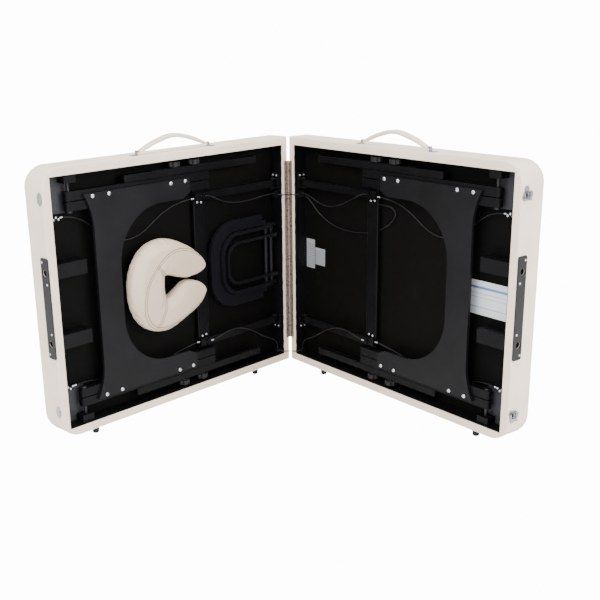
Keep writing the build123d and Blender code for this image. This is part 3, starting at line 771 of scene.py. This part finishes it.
def crossing_route(z, drop):
    """From the left guide over the hinge line to the right one, in metres."""
    left = [half_matrix("left") @ Vector((s, t, z - drop * i / len(CROSS_RUN)))
            for i, (s, t) in enumerate(CROSS_RUN)]
    right = [Vector((-point.x, point.y, point.z)) for point in reversed(left)]
    right[-1] = right[-1] + (right[-2] - right[-1]).normalized() * CROSS_SHORT * MM
    return [*left, Vector((0, HINGE.y + CROSS_MIDDLE * MM, (z - drop) * MM)), *right]


def cable_piece(name, route, node):
    """One cable: a tube on its route's smooth line."""
    line = smooth_line(route, 8)
    path = [Vector(v.co) for v in bake(object_of(name + "_line", line)).vertices]
    tube = line.copy()
    tube.bevel_depth = settings().hardware.cable / 2
    tube.bevel_resolution = 3
    tube.use_fill_caps = True
    mesh = bake(object_of(name, tube))
    mesh.shade_smooth()
    made = object_of(name, mesh, finishes()["black_cable"])
    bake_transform(made)
    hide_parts(node)


class MT_OT_cables(bpy.types.Operator):
    """Hangs the brace cables and their crimped ends"""
    bl_idname = "massage_table.cables"
    bl_label = "Cables"

    def execute(self, context):
        for side in SIDES:
            inner_top = INNER_TOP_LEFT if side == "left" else INNER_TOP_RIGHT
            runs = [
                ("outer_top", OUTER_TOP, 0.528, "outer"),
                ("outer_bottom", OUTER_BOTTOM, 0.497, "outer"),
                ("inner_top", inner_top, 0.313 if side == "left" else 0.322, "inner"),
                ("inner_bottom", INNER_BOTTOM, 0.354, "inner"),
            ]
            for name, route, length, group in runs:
                world = [half_matrix(side) @ Vector(point) for point in route]
                cable_piece(f"cable_{name}_{side}", world, f"cable_{group}_{side}")
        slack = [half_matrix("right") @ Vector(point) for point in SLACK_TOP_RIGHT]
        cable_piece("cable_slack_right", slack, "cable_inner_right")
        for name, z, drop, length in (("upper", 594, 4, 0.082), ("lower", 54, 6, 0.083)):
            cable_piece(f"cable_crossing_{name}", crossing_route(z, drop), "cable_crossing")
        for side in SIDES:
            self.crimps(side)
        return {"FINISHED"}

    def crimps(self, side):
        """Pressed ferrules where a cable is held."""
        groups = {
            "brace": [OUTER_TOP[:2], OUTER_BOTTOM[:2], INNER_BOTTOM[:2]],
            "half": [OUTER_TOP[:-3:-1], OUTER_BOTTOM[:-3:-1]],
        }
        for holder, ends in groups.items():
            bm = bmesh.new()
            for first, second in ends:
                start, away = Vector(first), (Vector(second) - Vector(first)).normalized()
                turn = away.to_track_quat("Z", "Y").to_matrix().to_4x4()
                place = Matrix.Translation(start + away * 2.0) @ turn
                profile = [(1.7, 0), (2.5, 0.4), (2.7, 1.2), (2.7, 4.4), (2.35, 5.0), (2.35, 6.0), (2.7, 6.6),
                           (2.7, 10.4), (2.4, 11.2), (1.7, 11.6)]
                lathe(bm, profile, place, 16)
            mesh = mesh_from(f"cable_crimps_{holder}_{side}", bm, side)
            piece(f"cable_crimps_{holder}_{side}", mesh, f"{holder}_{side}", "zinc_steel")


# ---------------------------------------------------------------- padded halves
def section_outline(side_inset, hinge_inset):
    """Points (s, z) round a half's section, counted the same at every level."""
    s0, s1 = HINGE_GAP + hinge_inset, HALF_LENGTH - side_inset
    z0, z1 = LOW_Z + side_inset, HIGH_Z - side_inset
    radius = CORNER_RADIUS - side_inset
    long_steps, end_steps, corner_steps = 56, 44, 14
    straight = s1 - radius - s0
    points = [(s0 + straight * i / long_steps, z0) for i in range(long_steps)]
    turns = [pi / 2 * i / corner_steps for i in range(corner_steps)]
    points += [(s1 - radius + radius * sin(turn), z0 + radius - radius * cos(turn)) for turn in turns]
    rise = z1 - z0 - 2 * radius
    points += [(s1, z0 + radius + rise * i / end_steps) for i in range(end_steps)]
    points += [(s1 - radius + radius * cos(turn), z1 - radius + radius * sin(turn)) for turn in turns]
    points += [(s1 - radius - straight * i / long_steps, z1) for i in range(long_steps)]
    marks = [i / end_steps for i in range(end_steps)]
    for flip in (-1, 1):
        for seat in (HINGE_SEAT_HALF - 0.5, HINGE_SEAT_HALF + 0.5):
            marks.append(0.5 + flip * seat / (HIGH_Z - LOW_Z))
    points += [(s0, z1 - (z1 - z0) * mark) for mark in sorted(marks)]
    return points


def window_outline(outline):
    """The outline pulled in to the underside's opening; its hinge edge wanders as hand-cut vinyl does."""
    points = []
    for s, z in outline:
        waver = 1.3 * noise.noise(Vector((z * 0.045, 3.7, 0))) + 0.7 * sin(z * 0.21)
        points.append((min(max(s, RIM_S[0] + waver), RIM_S[1]), min(max(z, RIM_Z[0]), RIM_Z[1])))
    return points


def level(outline, t):
    return [Vector((s, t, z)) for s, z in outline]


def cover_loops(given):
    """The cover's loops from inside the deck, round the rim and the sides, to the middle of the top."""
    base, inner = section_outline(0, 0), section_outline(LINING, LINING)
    window, outer = window_outline(base), section_outline(RIM_ROLL, RIM_ROLL)
    loops = [level(inner, t) for t in (DECK_TOP_T + UNDERSIDE_T, 30.0, 2.6)]
    loops += [level(window, t) for t in CUT_EDGE_T]
    for share in (0.06, 0.2, 0.38, 0.42, 0.7, 1.0):
        between = [(a[0] + (b[0] - a[0]) * share, a[1] + (b[1] - a[1]) * share)
                   for a, b in zip(window, outer)]
        loops.append(level(between, UNDERSIDE_T))
    for turn in (22, 45, 68):
        inset = RIM_ROLL * (1 - sin(radians(turn)))
        loops.append(level(section_outline(inset, inset), UNDERSIDE_T + RIM_ROLL * (1 - cos(radians(turn)))))
    roll_start = THICKNESS - EDGE_RADIUS
    loops += [level(base, t) for t in (UNDERSIDE_T + RIM_ROLL, 14, 24, 36, 48, 60, roll_start)]
    for turn in range(9, 91, 9):
        t = roll_start + EDGE_RADIUS * sin(radians(turn))
        inset = EDGE_RADIUS * (1 - cos(radians(turn)))
        over = max(0.0, t - (THICKNESS - HINGE_EDGE_RADIUS))
        hinge_inset = HINGE_EDGE_RADIUS - sqrt(max(HINGE_EDGE_RADIUS**2 - over**2, 0))
        loops.append(level(section_outline(inset, hinge_inset), t))
    rim = section_outline(EDGE_RADIUS, HINGE_EDGE_RADIUS)
    centre = ((HINGE_GAP + HALF_LENGTH) / 2, MID_Z)
    steps = 26
    for k in range(1, steps + 1):
        share = (k / steps) * 0.995
        rise = given.crown / MM * (1 - (1 - share) ** 2.4)
        ring = [(s + (centre[0] - s) * share, z + (centre[1] - z) * share) for s, z in rim]
        loops.append(level(ring, THICKNESS + rise))
    return loops


def seat_hinge(bm):
    """Presses the cover down under the hinge leaf."""
    for vert in bm.verts:
        if abs(vert.co.z - MID_Z) < HINGE_SEAT_HALF and vert.co.x < LEAF_SEAT_S:
            vert.co.y = max(vert.co.y, LEAF_BACK_T)


def relax_cover(bm, given):
    """Gathers at the outer corners and the slight unevenness of stretched vinyl."""
    corners = [(HALF_LENGTH - CORNER_RADIUS, LOW_Z + CORNER_RADIUS),
               (HALF_LENGTH - CORNER_RADIUS, HIGH_Z - CORNER_RADIUS)]
    for vert in bm.verts:
        s, t, z = vert.co
        if t < 6:
            continue
        uneven = 0.5 * noise.noise(Vector((s, t, z)) * 0.018)
        gather = 0.0
        for cs, cz in corners:
            ds, dz = s - cs, (z - cz) * (1 if cz > MID_Z else -1)
            if ds > 0 and dz > 0:
                turn = atan2(dz, ds)
                height = min(max((t - 40) / 40, 0), 1) * min(max((THICKNESS + 1 - t) / 30, 0), 1)
                gather += given.pucker / MM * sin(turn * 22) * height * sin(2 * turn)
        vert.co += vert.normal * (gather + uneven)


class MT_OT_padding(bpy.types.Operator):
    """Upholsters both halves in grained vinyl over foam"""
    bl_idname = "massage_table.padding"
    bl_label = "Padded halves"

    def execute(self, context):
        given = settings().padding
        slots = finishes()
        for side in SIDES:
            bm = bmesh.new()
            stack(bm, cover_loops(given), cap_first=True, cap_last=True)
            bmesh.ops.remove_doubles(bm, verts=bm.verts, dist=0.02)
            bmesh.ops.recalc_face_normals(bm, faces=bm.faces)
            bm.normal_update()
            relax_cover(bm, given)
            seat_hinge(bm)
            cut_edge = [face for face in bm.faces
                        if all(0.3 < v.co.y < 1.5 for v in face.verts)
                        and all(RIM_S[0] - 5 < v.co.x < RIM_S[1] + 1 for v in face.verts)
                        and abs(face.normal.y) < 0.3]
            for face in cut_edge:
                face.material_index = 1
            mesh = mesh_from(f"padded_cover_{side}", bm, side, smooth=75)
            cover = object_of(f"padded_cover_{side}", mesh, slots["cream_vinyl"])
            mesh.materials.append(finish_of("vinyl_backing", backing_paint))
            cover = self.bored(cover, side)
            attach(cover, f"half_{side}")
            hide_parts(f"vinyl_cover_{side}", f"foam_pad_{side}")
            self.staples(side, given)
        return {"FINISHED"}

    def bored(self, cover, side):
        """The cover with the two socket mouths cut through its outer end."""
        bm = bmesh.new()
        for offset in (-SOCKET_OFFSET, SOCKET_OFFSET):
            place = Matrix.Translation((HALF_LENGTH - 8, SOCKET_T, MID_Z + offset))
            lathe(bm, [(SOCKET_RADIUS, 0), (SOCKET_RADIUS, 12)], place @ Matrix.Rotation(pi / 2, 4, "Y"), 32)
        cutter = object_of("cutter", mesh_from("cutter", bm, side))
        modifier = cover.modifiers.new("bores", "BOOLEAN")
        modifier.object, modifier.operation, modifier.solver = cutter, "DIFFERENCE", "EXACT"
        name = cover.name
        mesh = bake(cover)
        bpy.data.objects.remove(cutter)
        mesh.set_sharp_from_angle(angle=radians(75))
        return object_of(name, mesh)

    def staples(self, side, given):
        """Staples that hold the turned-under vinyl to the rails."""
        s0, s1 = RIM_S[0] - STAPLE_INSET, RIM_S[1] + STAPLE_INSET + 1
        z0, z1 = RIM_Z[0] - STAPLE_INSET, RIM_Z[1] + STAPLE_INSET
        corners = [Vector((s, STAPLE_T, z)) for s, z in ((s0 + 4, z0), (s1, z0), (s1, z1), (s0 + 4, z1))]
        lines = [[half_matrix(side) @ (start + (end - start) * i / 12) for i in range(13)]
                 for start, end in zip(corners, corners[1:] + corners[:1])]
        dash = shape_object("staple", box_shape(0.0006, 0.0006, 0.011))
        mesh = dashed(f"rim_staples_{side}", lines, dash, given.staple_gap)
        piece(f"rim_staples_{side}", mesh, f"half_{side}", "zinc_steel")


# ---------------------------------------------------------------- face cushion
CUSHION_MIDDLE = (519.0, 391.0)
CUSHION_T = (-15.0, 21.0)
FILL_FRAMES = 20
SEAM_ROW = 3.6
CUSHION_RING = [(154, 0), (149, 48), (128, 94), (92, 128), (42, 144), (-12, 140), (-64, 118), (-108, 88),
                (-134, 58), (-137, 38), (-112, 24), (-70, 18), (-30, 22), (2, 29), (20, 27), (25, -4),
                (21, -38), (4, -40), (-30, -27), (-70, -13), (-114, -26), (-137, -50), (-134, -68),
                (-108, -98), (-64, -122), (-12, -140), (42, -144), (92, -128), (128, -94), (149, -48)]



def rounded(points, steps, closed=False):
    """A smooth line through a few (s, z) points, with so many steps to each stretch."""
    points = [Vector(point) for point in points]
    count = len(points)
    line = []
    for i in range(count if closed else count - 1):
        near = [(i + k) % count if closed else min(max(i + k, 0), count - 1) for k in (-1, 0, 1, 2)]
        p0, p1, p2, p3 = (points[k] for k in near)
        for j in range(steps):
            u = j / steps
            line.append(0.5 * ((2 * p1) + (p2 - p0) * u + (2 * p0 - 5 * p1 + 4 * p2 - p3) * u * u
                               + (3 * p1 - p0 - 3 * p2 + p3) * u**3))
    return line if closed else [*line, points[-1]]


def inflate(made, given):
    """Fills a closed form with air and keeps the swell within its cap."""
    rest = [v.co.copy() for v in made.data.vertices]
    cloth = made.modifiers.new("fill", "CLOTH")
    cloth.settings.effector_weights.gravity = 0
    cloth.settings.use_pressure = True
    cloth.settings.uniform_pressure_force = given.pressure
    cloth.settings.quality = 5
    cloth.point_cache.frame_start, cloth.point_cache.frame_end = 1, FILL_FRAMES
    scene = bpy.context.scene
    for moment in range(1, FILL_FRAMES + 1):
        scene.frame_set(moment)
    evaluated = made.evaluated_get(bpy.context.evaluated_depsgraph_get())
    moved = [v.co.copy() for v in evaluated.data.vertices]
    made.modifiers.remove(cloth)
    scene.frame_set(1)
    for vert, before, after in zip(made.data.vertices, rest, moved):
        travel = after - before
        if travel.length > given.swell:
            travel = travel.normalized() * given.swell
        vert.co = before + travel


def seam_lines():
    """Centre lines (s, z) of the cushion's double-stitched seams on its front."""
    ms, mz = CUSHION_MIDDLE
    crescent = [(-118, 66), (-62, 94), (-6, 100), (36, 82), (66, 56), (94, 22), (110, -22), (112, -62),
                (98, -98), (68, -122), (20, -128), (-50, -112), (-104, -82)]
    upper_cross, lower_cross = [(60, 64), (42, 44), (24, 26)], [(66, -121), (44, -80), (24, -40)]
    return [rounded([(ms + s, mz + z) for s, z in line], steps)
            for line, steps in ((crescent, 14), (upper_cross, 10), (lower_cross, 10))]


def beside(line, away):
    """The line moved sideways by away."""
    moved = []
    for i, point in enumerate(line):
        ahead = (line[min(i + 1, len(line) - 1)] - line[max(i - 1, 0)]).normalized()
        moved.append(point + Vector((-ahead.y, ahead.x)) * away)
    return moved


class MT_OT_cushion(bpy.types.Operator):
    """Fills and stitches the horseshoe face cushion"""
    bl_idname = "massage_table.cushion"
    bl_label = "Face cushion"

    def execute(self, context):
        given = settings().padding
        ms, mz = CUSHION_MIDDLE
        outline = rounded([(ms + s, mz + z) for s, z in CUSHION_RING], 8, closed=True)
        bm = bmesh.new()
        front = [bm.verts.new((p.x * MM, CUSHION_T[0] * MM, p.y * MM)) for p in outline]
        face = bm.faces.new(front)
        pushed = bmesh.ops.extrude_face_region(bm, geom=[face])
        back = [v for v in pushed["geom"] if isinstance(v, bmesh.types.BMVert)]
        bmesh.ops.translate(bm, verts=back, vec=(0, (CUSHION_T[1] - CUSHION_T[0]) * MM, 0))
        bmesh.ops.recalc_face_normals(bm, faces=bm.faces)
        mesh = bpy.data.meshes.new("face_cushion")
        bm.to_mesh(mesh)
        bm.free()
        form = object_of("face_cushion", mesh)
        remesh = form.modifiers.new("even", "REMESH")
        remesh.mode, remesh.voxel_size = "VOXEL", 0.0045
        form = object_of("face_cushion", bake(form))
        relax = form.modifiers.new("relax", "SMOOTH")
        relax.factor, relax.iterations = 0.5, 8
        form = object_of("face_cushion", bake(form))
        inflate(form, given)
        finer = form.modifiers.new("finer", "SUBSURF")
        finer.levels = finer.render_levels = 1
        mesh = bake(form)
        self.sink_seams(mesh)
        stitches = self.stitches(mesh, given)
        mesh.transform(half_matrix("left", 1.0))
        mesh.flip_normals()
        mesh.shade_smooth()
        made = piece("face_cushion", mesh, "cushion", "cushion_vinyl", ("face_cushion_left",))
        thread = piece("cushion_stitches", stitches, "cushion", "cushion_vinyl",
                       finish=finish_of("cushion_thread", thread_paint((0.07, 0.052, 0.038))))
        thread.data.shade_smooth()
        return {"FINISHED"}

    def sink_seams(self, mesh):
        """Draws the skin in along the seams."""
        lines = [[point * MM for point in line] for line in seam_lines()]
        spots = [point for line in lines for point in line]
        reach, depth = 0.0085, 0.0022
        for vert in mesh.vertices:
            if vert.normal.y > -0.2:
                continue
            here = Vector((vert.co.x, vert.co.z))
            nearest = min((here - spot).length for spot in spots)
            if nearest < reach:
                vert.co -= vert.normal * depth * (1 + cos(pi * nearest / reach)) / 2

    def stitches(self, mesh, given):
        """Two rows of thread beside each seam, laid on the skin."""
        tree = BVHTree.FromPolygons([v.co for v in mesh.vertices], [p.vertices[:] for p in mesh.polygons])
        rows = []
        for line in seam_lines():
            for away in (-SEAM_ROW, SEAM_ROW):
                row = []
                for point in beside(line, away):
                    hit = tree.ray_cast(Vector((point.x * MM, -0.2, point.y * MM)), Vector((0, 1, 0)))[0]
                    if hit is not None:
                        row.append(half_matrix("left", 1.0) @ (hit + Vector((0, -0.0001, 0))))
                rows.append(row)
        dash = shape_object("cushion_stitch", box_shape(0.0015, 0.0013, 0.0036))
        return dashed("cushion_stitches", rows, dash, given.stitch_gap)


# ---------------------------------------------------------------- softened woodwork and fittings
def softened(node, width):
    """A copy of a CAD node with its sharp edges rounded."""
    source = frame["nodes"][node].data
    bm = bmesh.new()
    bm.from_mesh(source)
    bmesh.ops.remove_doubles(bm, verts=bm.verts, dist=2e-6)
    bmesh.ops.dissolve_limit(bm, angle_limit=radians(0.8), verts=bm.verts, edges=bm.edges)
    index = {vert: i for i, vert in enumerate(bm.verts)}
    points = [tuple(vert.co) for vert in bm.verts]
    faces = [[index[v] for v in face.verts] for face in bm.faces]
    bm.free()
    mesh = bpy.data.meshes.new(node + "_finished")
    mesh.from_pydata(points, [], faces)
    made = object_of(node + "_finished", mesh)
    bevel = made.modifiers.new("edges", "BEVEL")
    bevel.width, bevel.segments = width, 2
    bevel.limit_method, bevel.angle_limit = "ANGLE", radians(40)
    bevel.use_clamp_overlap = True
    mesh = bake(made)
    mesh.shade_smooth()
    mesh.set_sharp_from_angle(angle=radians(32))
    made = object_of(node + "_finished", mesh)
    even = made.modifiers.new("even", "WEIGHTED_NORMAL")
    even.keep_sharp = True
    even.weight = 90
    return bake(made)


SOFTENED = {
    "end_panel": ("black_panel", 0.8), "upper_legs": ("black_wood", 1.3),
    "extension_leg": ("black_wood", 1.3), "brace_crossbar": ("black_wood", 1.2),
    "brace_struts": ("black_wood", 1.2), "frame_rails": ("black_wood", 0.9),
    "brace_brackets": ("black_steel", 0.5), "handle_plates": ("chrome_trim", 0.4),
    "outlet_strip": ("black_plastic", 0.7), "frame_blocks": ("black_wood", 0.8),
    "latch_bases": ("chrome_trim", 0.7), "latch_keepers": ("chrome_trim", 0.6),
    "latch_hook": ("chrome_trim", 0.6), "latch_knob": ("chrome_trim", 0.8),
    "leg_knob": ("knob_plastic", 1.1), "face_cradle": ("cradle_black", 1.1),
}


class MT_OT_woodwork(bpy.types.Operator):
    """Rounds the edges of the lacquered legs, panels and braces, and of the fittings"""
    bl_idname = "massage_table.woodwork"
    bl_label = "Woodwork and fittings"

    def execute(self, context):
        for node, source in list(frame["nodes"].items()):
            for stem, (slot, width) in SOFTENED.items():
                if node.startswith(stem):
                    piece(node + "_finished", softened(node, width * MM), source["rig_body"], slot, (node,))
        return {"FINISHED"}


# ---------------------------------------------------------------- screws, bolts and feet
PANEL_BOLTS = [(s, 4.0, z) for s in (438, 493, 714, 769) for z in (686, 108)]
HINGE_SCREWS = [(11.5, 1.9, MID_Z - 262 + 75 * i) for i in range(8)]
STRIP_SCREWS = [(930.0, t, MID_Z + z) for t, z in ((28.5, 130), (11, 70), (11, -70), (28.5, -130))]
ANCHOR_BOLTS = [(s, 20.0, MID_Z + flip * (z - MID_Z)) for flip in (1, -1)
                for s, z in ((872, 635), (880, 641), (888, 635), (896, 641))]
BRACKET_BOLTS = [(38.5, t, MID_Z + flip * 257.0) for flip in (1, -1) for t in (18.0, 34.0)]
BRACE_SCREWS = [(s, 30.0, MID_Z + flip * z) for flip in (1, -1) for s, z in ((357, 212), (373, 214))]
BRACE_SCREWS += [(360, 19.0, MID_Z + flip * 234) for flip in (1, -1)]
PIVOT_PROFILE = [(0, 0.8), (6.4, 0.0), (8.4, 0.9), (9.0, 2.6), (9.0, 5.6), (4.95, 5.6),
                 (4.95, 98.0), (0, 98.0)]
GUSSET_S, GUSSET_Z, GUSSET_T = (826, 899), (646, 751), (42.4, 40.8)
FOOT_S, FOOT_T = (160, 811), 14


class MT_OT_fasteners(bpy.types.Operator):
    """Sets the bolts and screws in their rows"""
    bl_idname = "massage_table.fasteners"
    bl_label = "Fasteners"

    def execute(self, context):
        given = settings().hardware
        bolt = shape_object("bolt_head", socket_head)
        screw = shape_object("screw_head", crossed_head)
        zinc, dull = finishes()["zinc_steel"], finishes()["hinge_steel"]
        outward, under = Vector((1, 0, 0)), Vector((0, -1, 0))
        for side in SIDES:
            self.pivots_and_gussets(side)
            matrix = half_matrix(side)
            for name, shape, places, aim, radius, paint, body in (
                ("panel_bolt_heads", bolt, PANEL_BOLTS, under, given.bolt_radius, zinc, "leg"),
                ("hinge_screws", screw, HINGE_SCREWS, under, 0.0029, dull, "half"),
                ("strip_screws", screw, STRIP_SCREWS, outward, given.screw_radius, zinc, "half"),
                ("anchor_bolts", bolt, ANCHOR_BOLTS, under, 0.0034, zinc, "half"),
                ("bracket_bolts", bolt, BRACKET_BOLTS, outward, 0.0036, zinc, "half"),
                ("brace_screws", bolt, BRACE_SCREWS, under, 0.0042, zinc, "brace"),
            ):
                facing = (matrix.to_3x3() @ aim).normalized()
                spots = [(matrix @ Vector(place), facing, 0.7 * i) for i, place in enumerate(places)]
                mesh = repeated(f"{name}_{side}", shape, spots, radius)
                replaced = (f"panel_bolts_{side}",) if places is PANEL_BOLTS else ()
                piece(f"{name}_{side}", mesh, f"{body}_{side}", "zinc_steel", replaced, paint)
        return {"FINISHED"}

    def pivots_and_gussets(self, side):
        """The legs' pivot bolts and the textured plates in the outer corners."""
        bm = bmesh.new()
        for flip in (1, -1):
            place = Matrix.Translation((PIVOT_S, PIVOT_T, MID_Z + flip * PIVOT_HEAD_Z))
            lathe(bm, PIVOT_PROFILE, place @ Matrix.Rotation(0 if flip > 0 else pi, 4, "X"), 32)
        piece(f"pivot_bolts_{side}", mesh_from("pivot_bolts", bm, side, smooth=35), f"half_{side}",
              "black_steel", (f"frame_fasteners_{side}",))
        bm = bmesh.new()
        s0, s1 = GUSSET_S
        for low, high in (GUSSET_Z, (2 * MID_Z - GUSSET_Z[1], 2 * MID_Z - GUSSET_Z[0])):
            ring = [(s0, low), (s1, low), (s1, high), (s0, high)]
            stack(bm, [level(ring, t) for t in GUSSET_T], True, True)
        piece(f"corner_gussets_{side}", mesh_from("corner_gussets", bm, side), f"half_{side}", "black_wood",
              finish=finish_of("gusset_texture", gusset_paint))


class MT_OT_feet(bpy.types.Operator):
    """Turns the rubber feet with the recesses for their screws"""
    bl_idname = "massage_table.feet"
    bl_label = "Rubber feet"

    def execute(self, context):
        for side in SIDES:
            bm = bmesh.new()
            profile = [(0, 5.0), (3.6, 5.0), (3.8, 0.9), (4.6, 0.1), (8.3, 0.0), (9.3, 0.6), (9.7, 1.8),
                       (10.2, 9.0), (10.7, 13.6), (11.2, 14.3), (11.2, 16.4), (0, 16.4)]
            for s in FOOT_S:
                lathe(bm, profile, Matrix.Translation((s, FOOT_T, 0)), 32)
            mesh = mesh_from(f"foot_pair_{side}", bm, side, smooth=35)
            piece(f"foot_pair_{side}", mesh, f"half_{side}", "black_rubber", (f"rubber_feet_{side}",))
        return {"FINISHED"}


# ---------------------------------------------------------------- handles
HANDLE_S = (347.0, 593.0)
HANDLE_T = 14.0


class MT_OT_handles(bpy.types.Operator):
    """Pads and stitches the carrying handles"""
    bl_idname = "massage_table.handles"
    bl_label = "Carrying handles"

    def execute(self, context):
        pin = HIGH_Z + 10.2
        s0, s1 = HANDLE_S
        control = [(s0 - 3, HANDLE_T, pin - 1), (s0 + 16, HANDLE_T, pin + 6), (s0 + 52, HANDLE_T, pin + 21),
                   ((s0 + s1) / 2, HANDLE_T, pin + 38), (s1 - 52, HANDLE_T, pin + 21),
                   (s1 - 16, HANDLE_T, pin + 6), (s1 + 3, HANDLE_T, pin - 1)]
        line = [Vector(v.co) for v in bake(object_of("strap_line", smooth_line(control, 10))).vertices]
        last = len(line) - 1
        sections = []
        for i in range(len(line)):
            fat = sin(pi * i / last) ** 0.5
            sections.append((16.0 + 7.5 * fat, 5.0 + 6.5 * fat, 2.0 + 2.4 * fat))
        for side in SIDES:
            bm = bmesh.new()
            sweep(bm, line, sections)
            mesh = mesh_from(f"strap_{side}", bm, side, smooth=60)
            made = piece(f"strap_{side}", mesh, f"carry_handle_{side}", "cream_vinyl", (f"handle_{side}",))
            rows = []
            for across in (-1, 1):
                edges = [point + Vector((0, across * (width / 2 - corner), height / 2 + 0.05))
                         for point, (width, height, corner) in list(zip(line, sections))[5:-5]]
                rows.append([half_matrix(side) @ edge for edge in edges])
            dash = shape_object("stitch", box_shape(0.0008, 0.0008, 0.0031))
            stitches = dashed(f"strap_stitches_{side}", rows, dash, settings().padding.stitch_gap)
            piece(f"strap_stitches_{side}", stitches, f"carry_handle_{side}", "cream_vinyl",
                  finish=finish_of("strap_thread", thread_paint((0.55, 0.47, 0.38))))
        return {"FINISHED"}


# ---------------------------------------------------------------- labels
class MT_OT_labels(bpy.types.Operator):
    """Sticks the blank care and rating labels on the right deck"""
    bl_idname = "massage_table.labels"
    bl_label = "Blank labels"

    def execute(self, context):
        grey, ink = (0.30, 0.31, 0.33), (0.17, 0.175, 0.185)
        lines = [(0.06 + 0.075 * i, 0.06 + 0.075 * i + 0.022, ink) for i in range(11)]
        white, blue, pale = (0.72, 0.74, 0.78), (0.10, 0.22, 0.46), (0.42, 0.46, 0.54)
        plate = [(0.76, 0.83, blue), (0.62, 0.64, pale), (0.5, 0.52, pale), (0.2, 0.24, pale)]
        for name, (s0, s1), (z0, z1), paper, bands in (
            ("care_label", (35, 77), (343, 441), grey, lines),
            ("test_label", (79, 128), (359, 416), grey, lines),
            ("rating_label", (735, 869), (341, 438), white, plate),
        ):
            bm = bmesh.new()
            ring = []
            corners = ((s1 - 2, z1 - 2), (s0 + 2, z1 - 2), (s0 + 2, z0 + 2), (s1 - 2, z0 + 2))
            for quarter, (s, z) in enumerate(corners):
                turns = [radians(90 * quarter + 30 * k) for k in range(4)]
                ring += [(s + 2 * cos(turn), z + 2 * sin(turn)) for turn in turns]
            stack(bm, [level(ring, DECK_T - 0.02), level(ring, DECK_T - 0.2)], True, True)
            place = bm.loops.layers.uv.new("label")
            for face in bm.faces:
                for loop in face.loops:
                    s, _, z = loop.vert.co
                    loop[place].uv = ((s - s0) / (s1 - s0), (z - z0) / (z1 - z0))
            mesh = mesh_from(name, bm, "right")
            printed = finish_of(name + "_paper", label_paint(paper, bands))
            piece(name, mesh, "half_right", "cream_vinyl", finish=printed)
        return {"FINISHED"}


# ---------------------------------------------------------------- finishes of the plain CAD parts
CARRIED = {
    "frame_rails": "black_wood", "deck_panel": "deck_board", "frame_fasteners": "zinc_steel",
    "hinge_leaf": "hinge_steel", "hinge_pin": "hinge_steel", "latch_bases": "chrome_trim",
    "latch_hook": "chrome_trim", "latch_knob": "chrome_trim", "latch_keepers": "chrome_trim",
    "leg_knob": "knob_plastic", "face_cradle": "cradle_black", "foam_pad": "foam",
    "panel_bolts": "zinc_steel", "rubber_feet": "black_rubber", "cable": "black_cable",
    "vinyl_cover": "cream_vinyl", "face_cushion": "cushion_vinyl", "handle_plates": "chrome_trim",
    "handle": "cream_vinyl", "outlet_strip": "black_plastic", "brace_brackets": "black_steel",
    "brace": "black_wood", "frame_blocks": "black_wood", "end_panel": "black_panel",
    "upper_legs": "black_wood", "extension_leg": "black_wood",
}


class MT_OT_finishes(bpy.types.Operator):
    """Gives every carried-over part its finish"""
    bl_idname = "massage_table.finishes"
    bl_label = "Finishes"

    def execute(self, context):
        slots = finishes()
        for node, made in frame["nodes"].items():
            slot = next(slot for stem, slot in CARRIED.items() if node.startswith(stem))
            made.data.materials.clear()
            made.data.materials.append(slots[slot])
        return {"FINISHED"}


class MassageTableSettings(bpy.types.PropertyGroup):
    padding: PointerProperty(type=PaddingSettings, name="Padding", description="Soft parts")
    hardware: PointerProperty(type=HardwareSettings, name="Hardware", description="Fittings")
    finish: PointerProperty(type=FinishSettings, name="Finish", description="Colours")
    stage: PointerProperty(type=StageSettings, name="Stage", description="Camera")


OPERATORS = (MT_OT_stage, MT_OT_cables, MT_OT_padding, MT_OT_cushion, MT_OT_woodwork, MT_OT_fasteners,
             MT_OT_feet, MT_OT_handles, MT_OT_labels, MT_OT_finishes)


class MT_PT_panel(bpy.types.Panel):
    """Lists the table's pieces in the sidebar"""
    bl_idname = "MT_PT_panel"
    bl_label = "Massage Table"
    bl_space_type = "VIEW_3D"
    bl_region_type = "UI"
    bl_category = "Massage Table"

    def draw(self, context):
        for operator in OPERATORS:
            self.layout.operator(operator.bl_idname)
        for group in (settings().padding, settings().hardware, settings().finish, settings().stage):
            for name in group.__annotations__:
                self.layout.prop(group, name)


CLASSES = (PaddingSettings, HardwareSettings, FinishSettings, StageSettings, MassageTableSettings,
           *OPERATORS, MT_PT_panel)


def register():
    for each in CLASSES:
        bpy.utils.register_class(each)
    bpy.types.Scene.massage_table = PointerProperty(type=MassageTableSettings)


def unregister():
    del bpy.types.Scene.massage_table
    for each in reversed(CLASSES):
        bpy.utils.unregister_class(each)


def main():
    register()
    for operator in OPERATORS:
        group, name = operator.bl_idname.split(".")
        getattr(getattr(bpy.ops, group), name)()


if __name__ == "__main__":
    main()
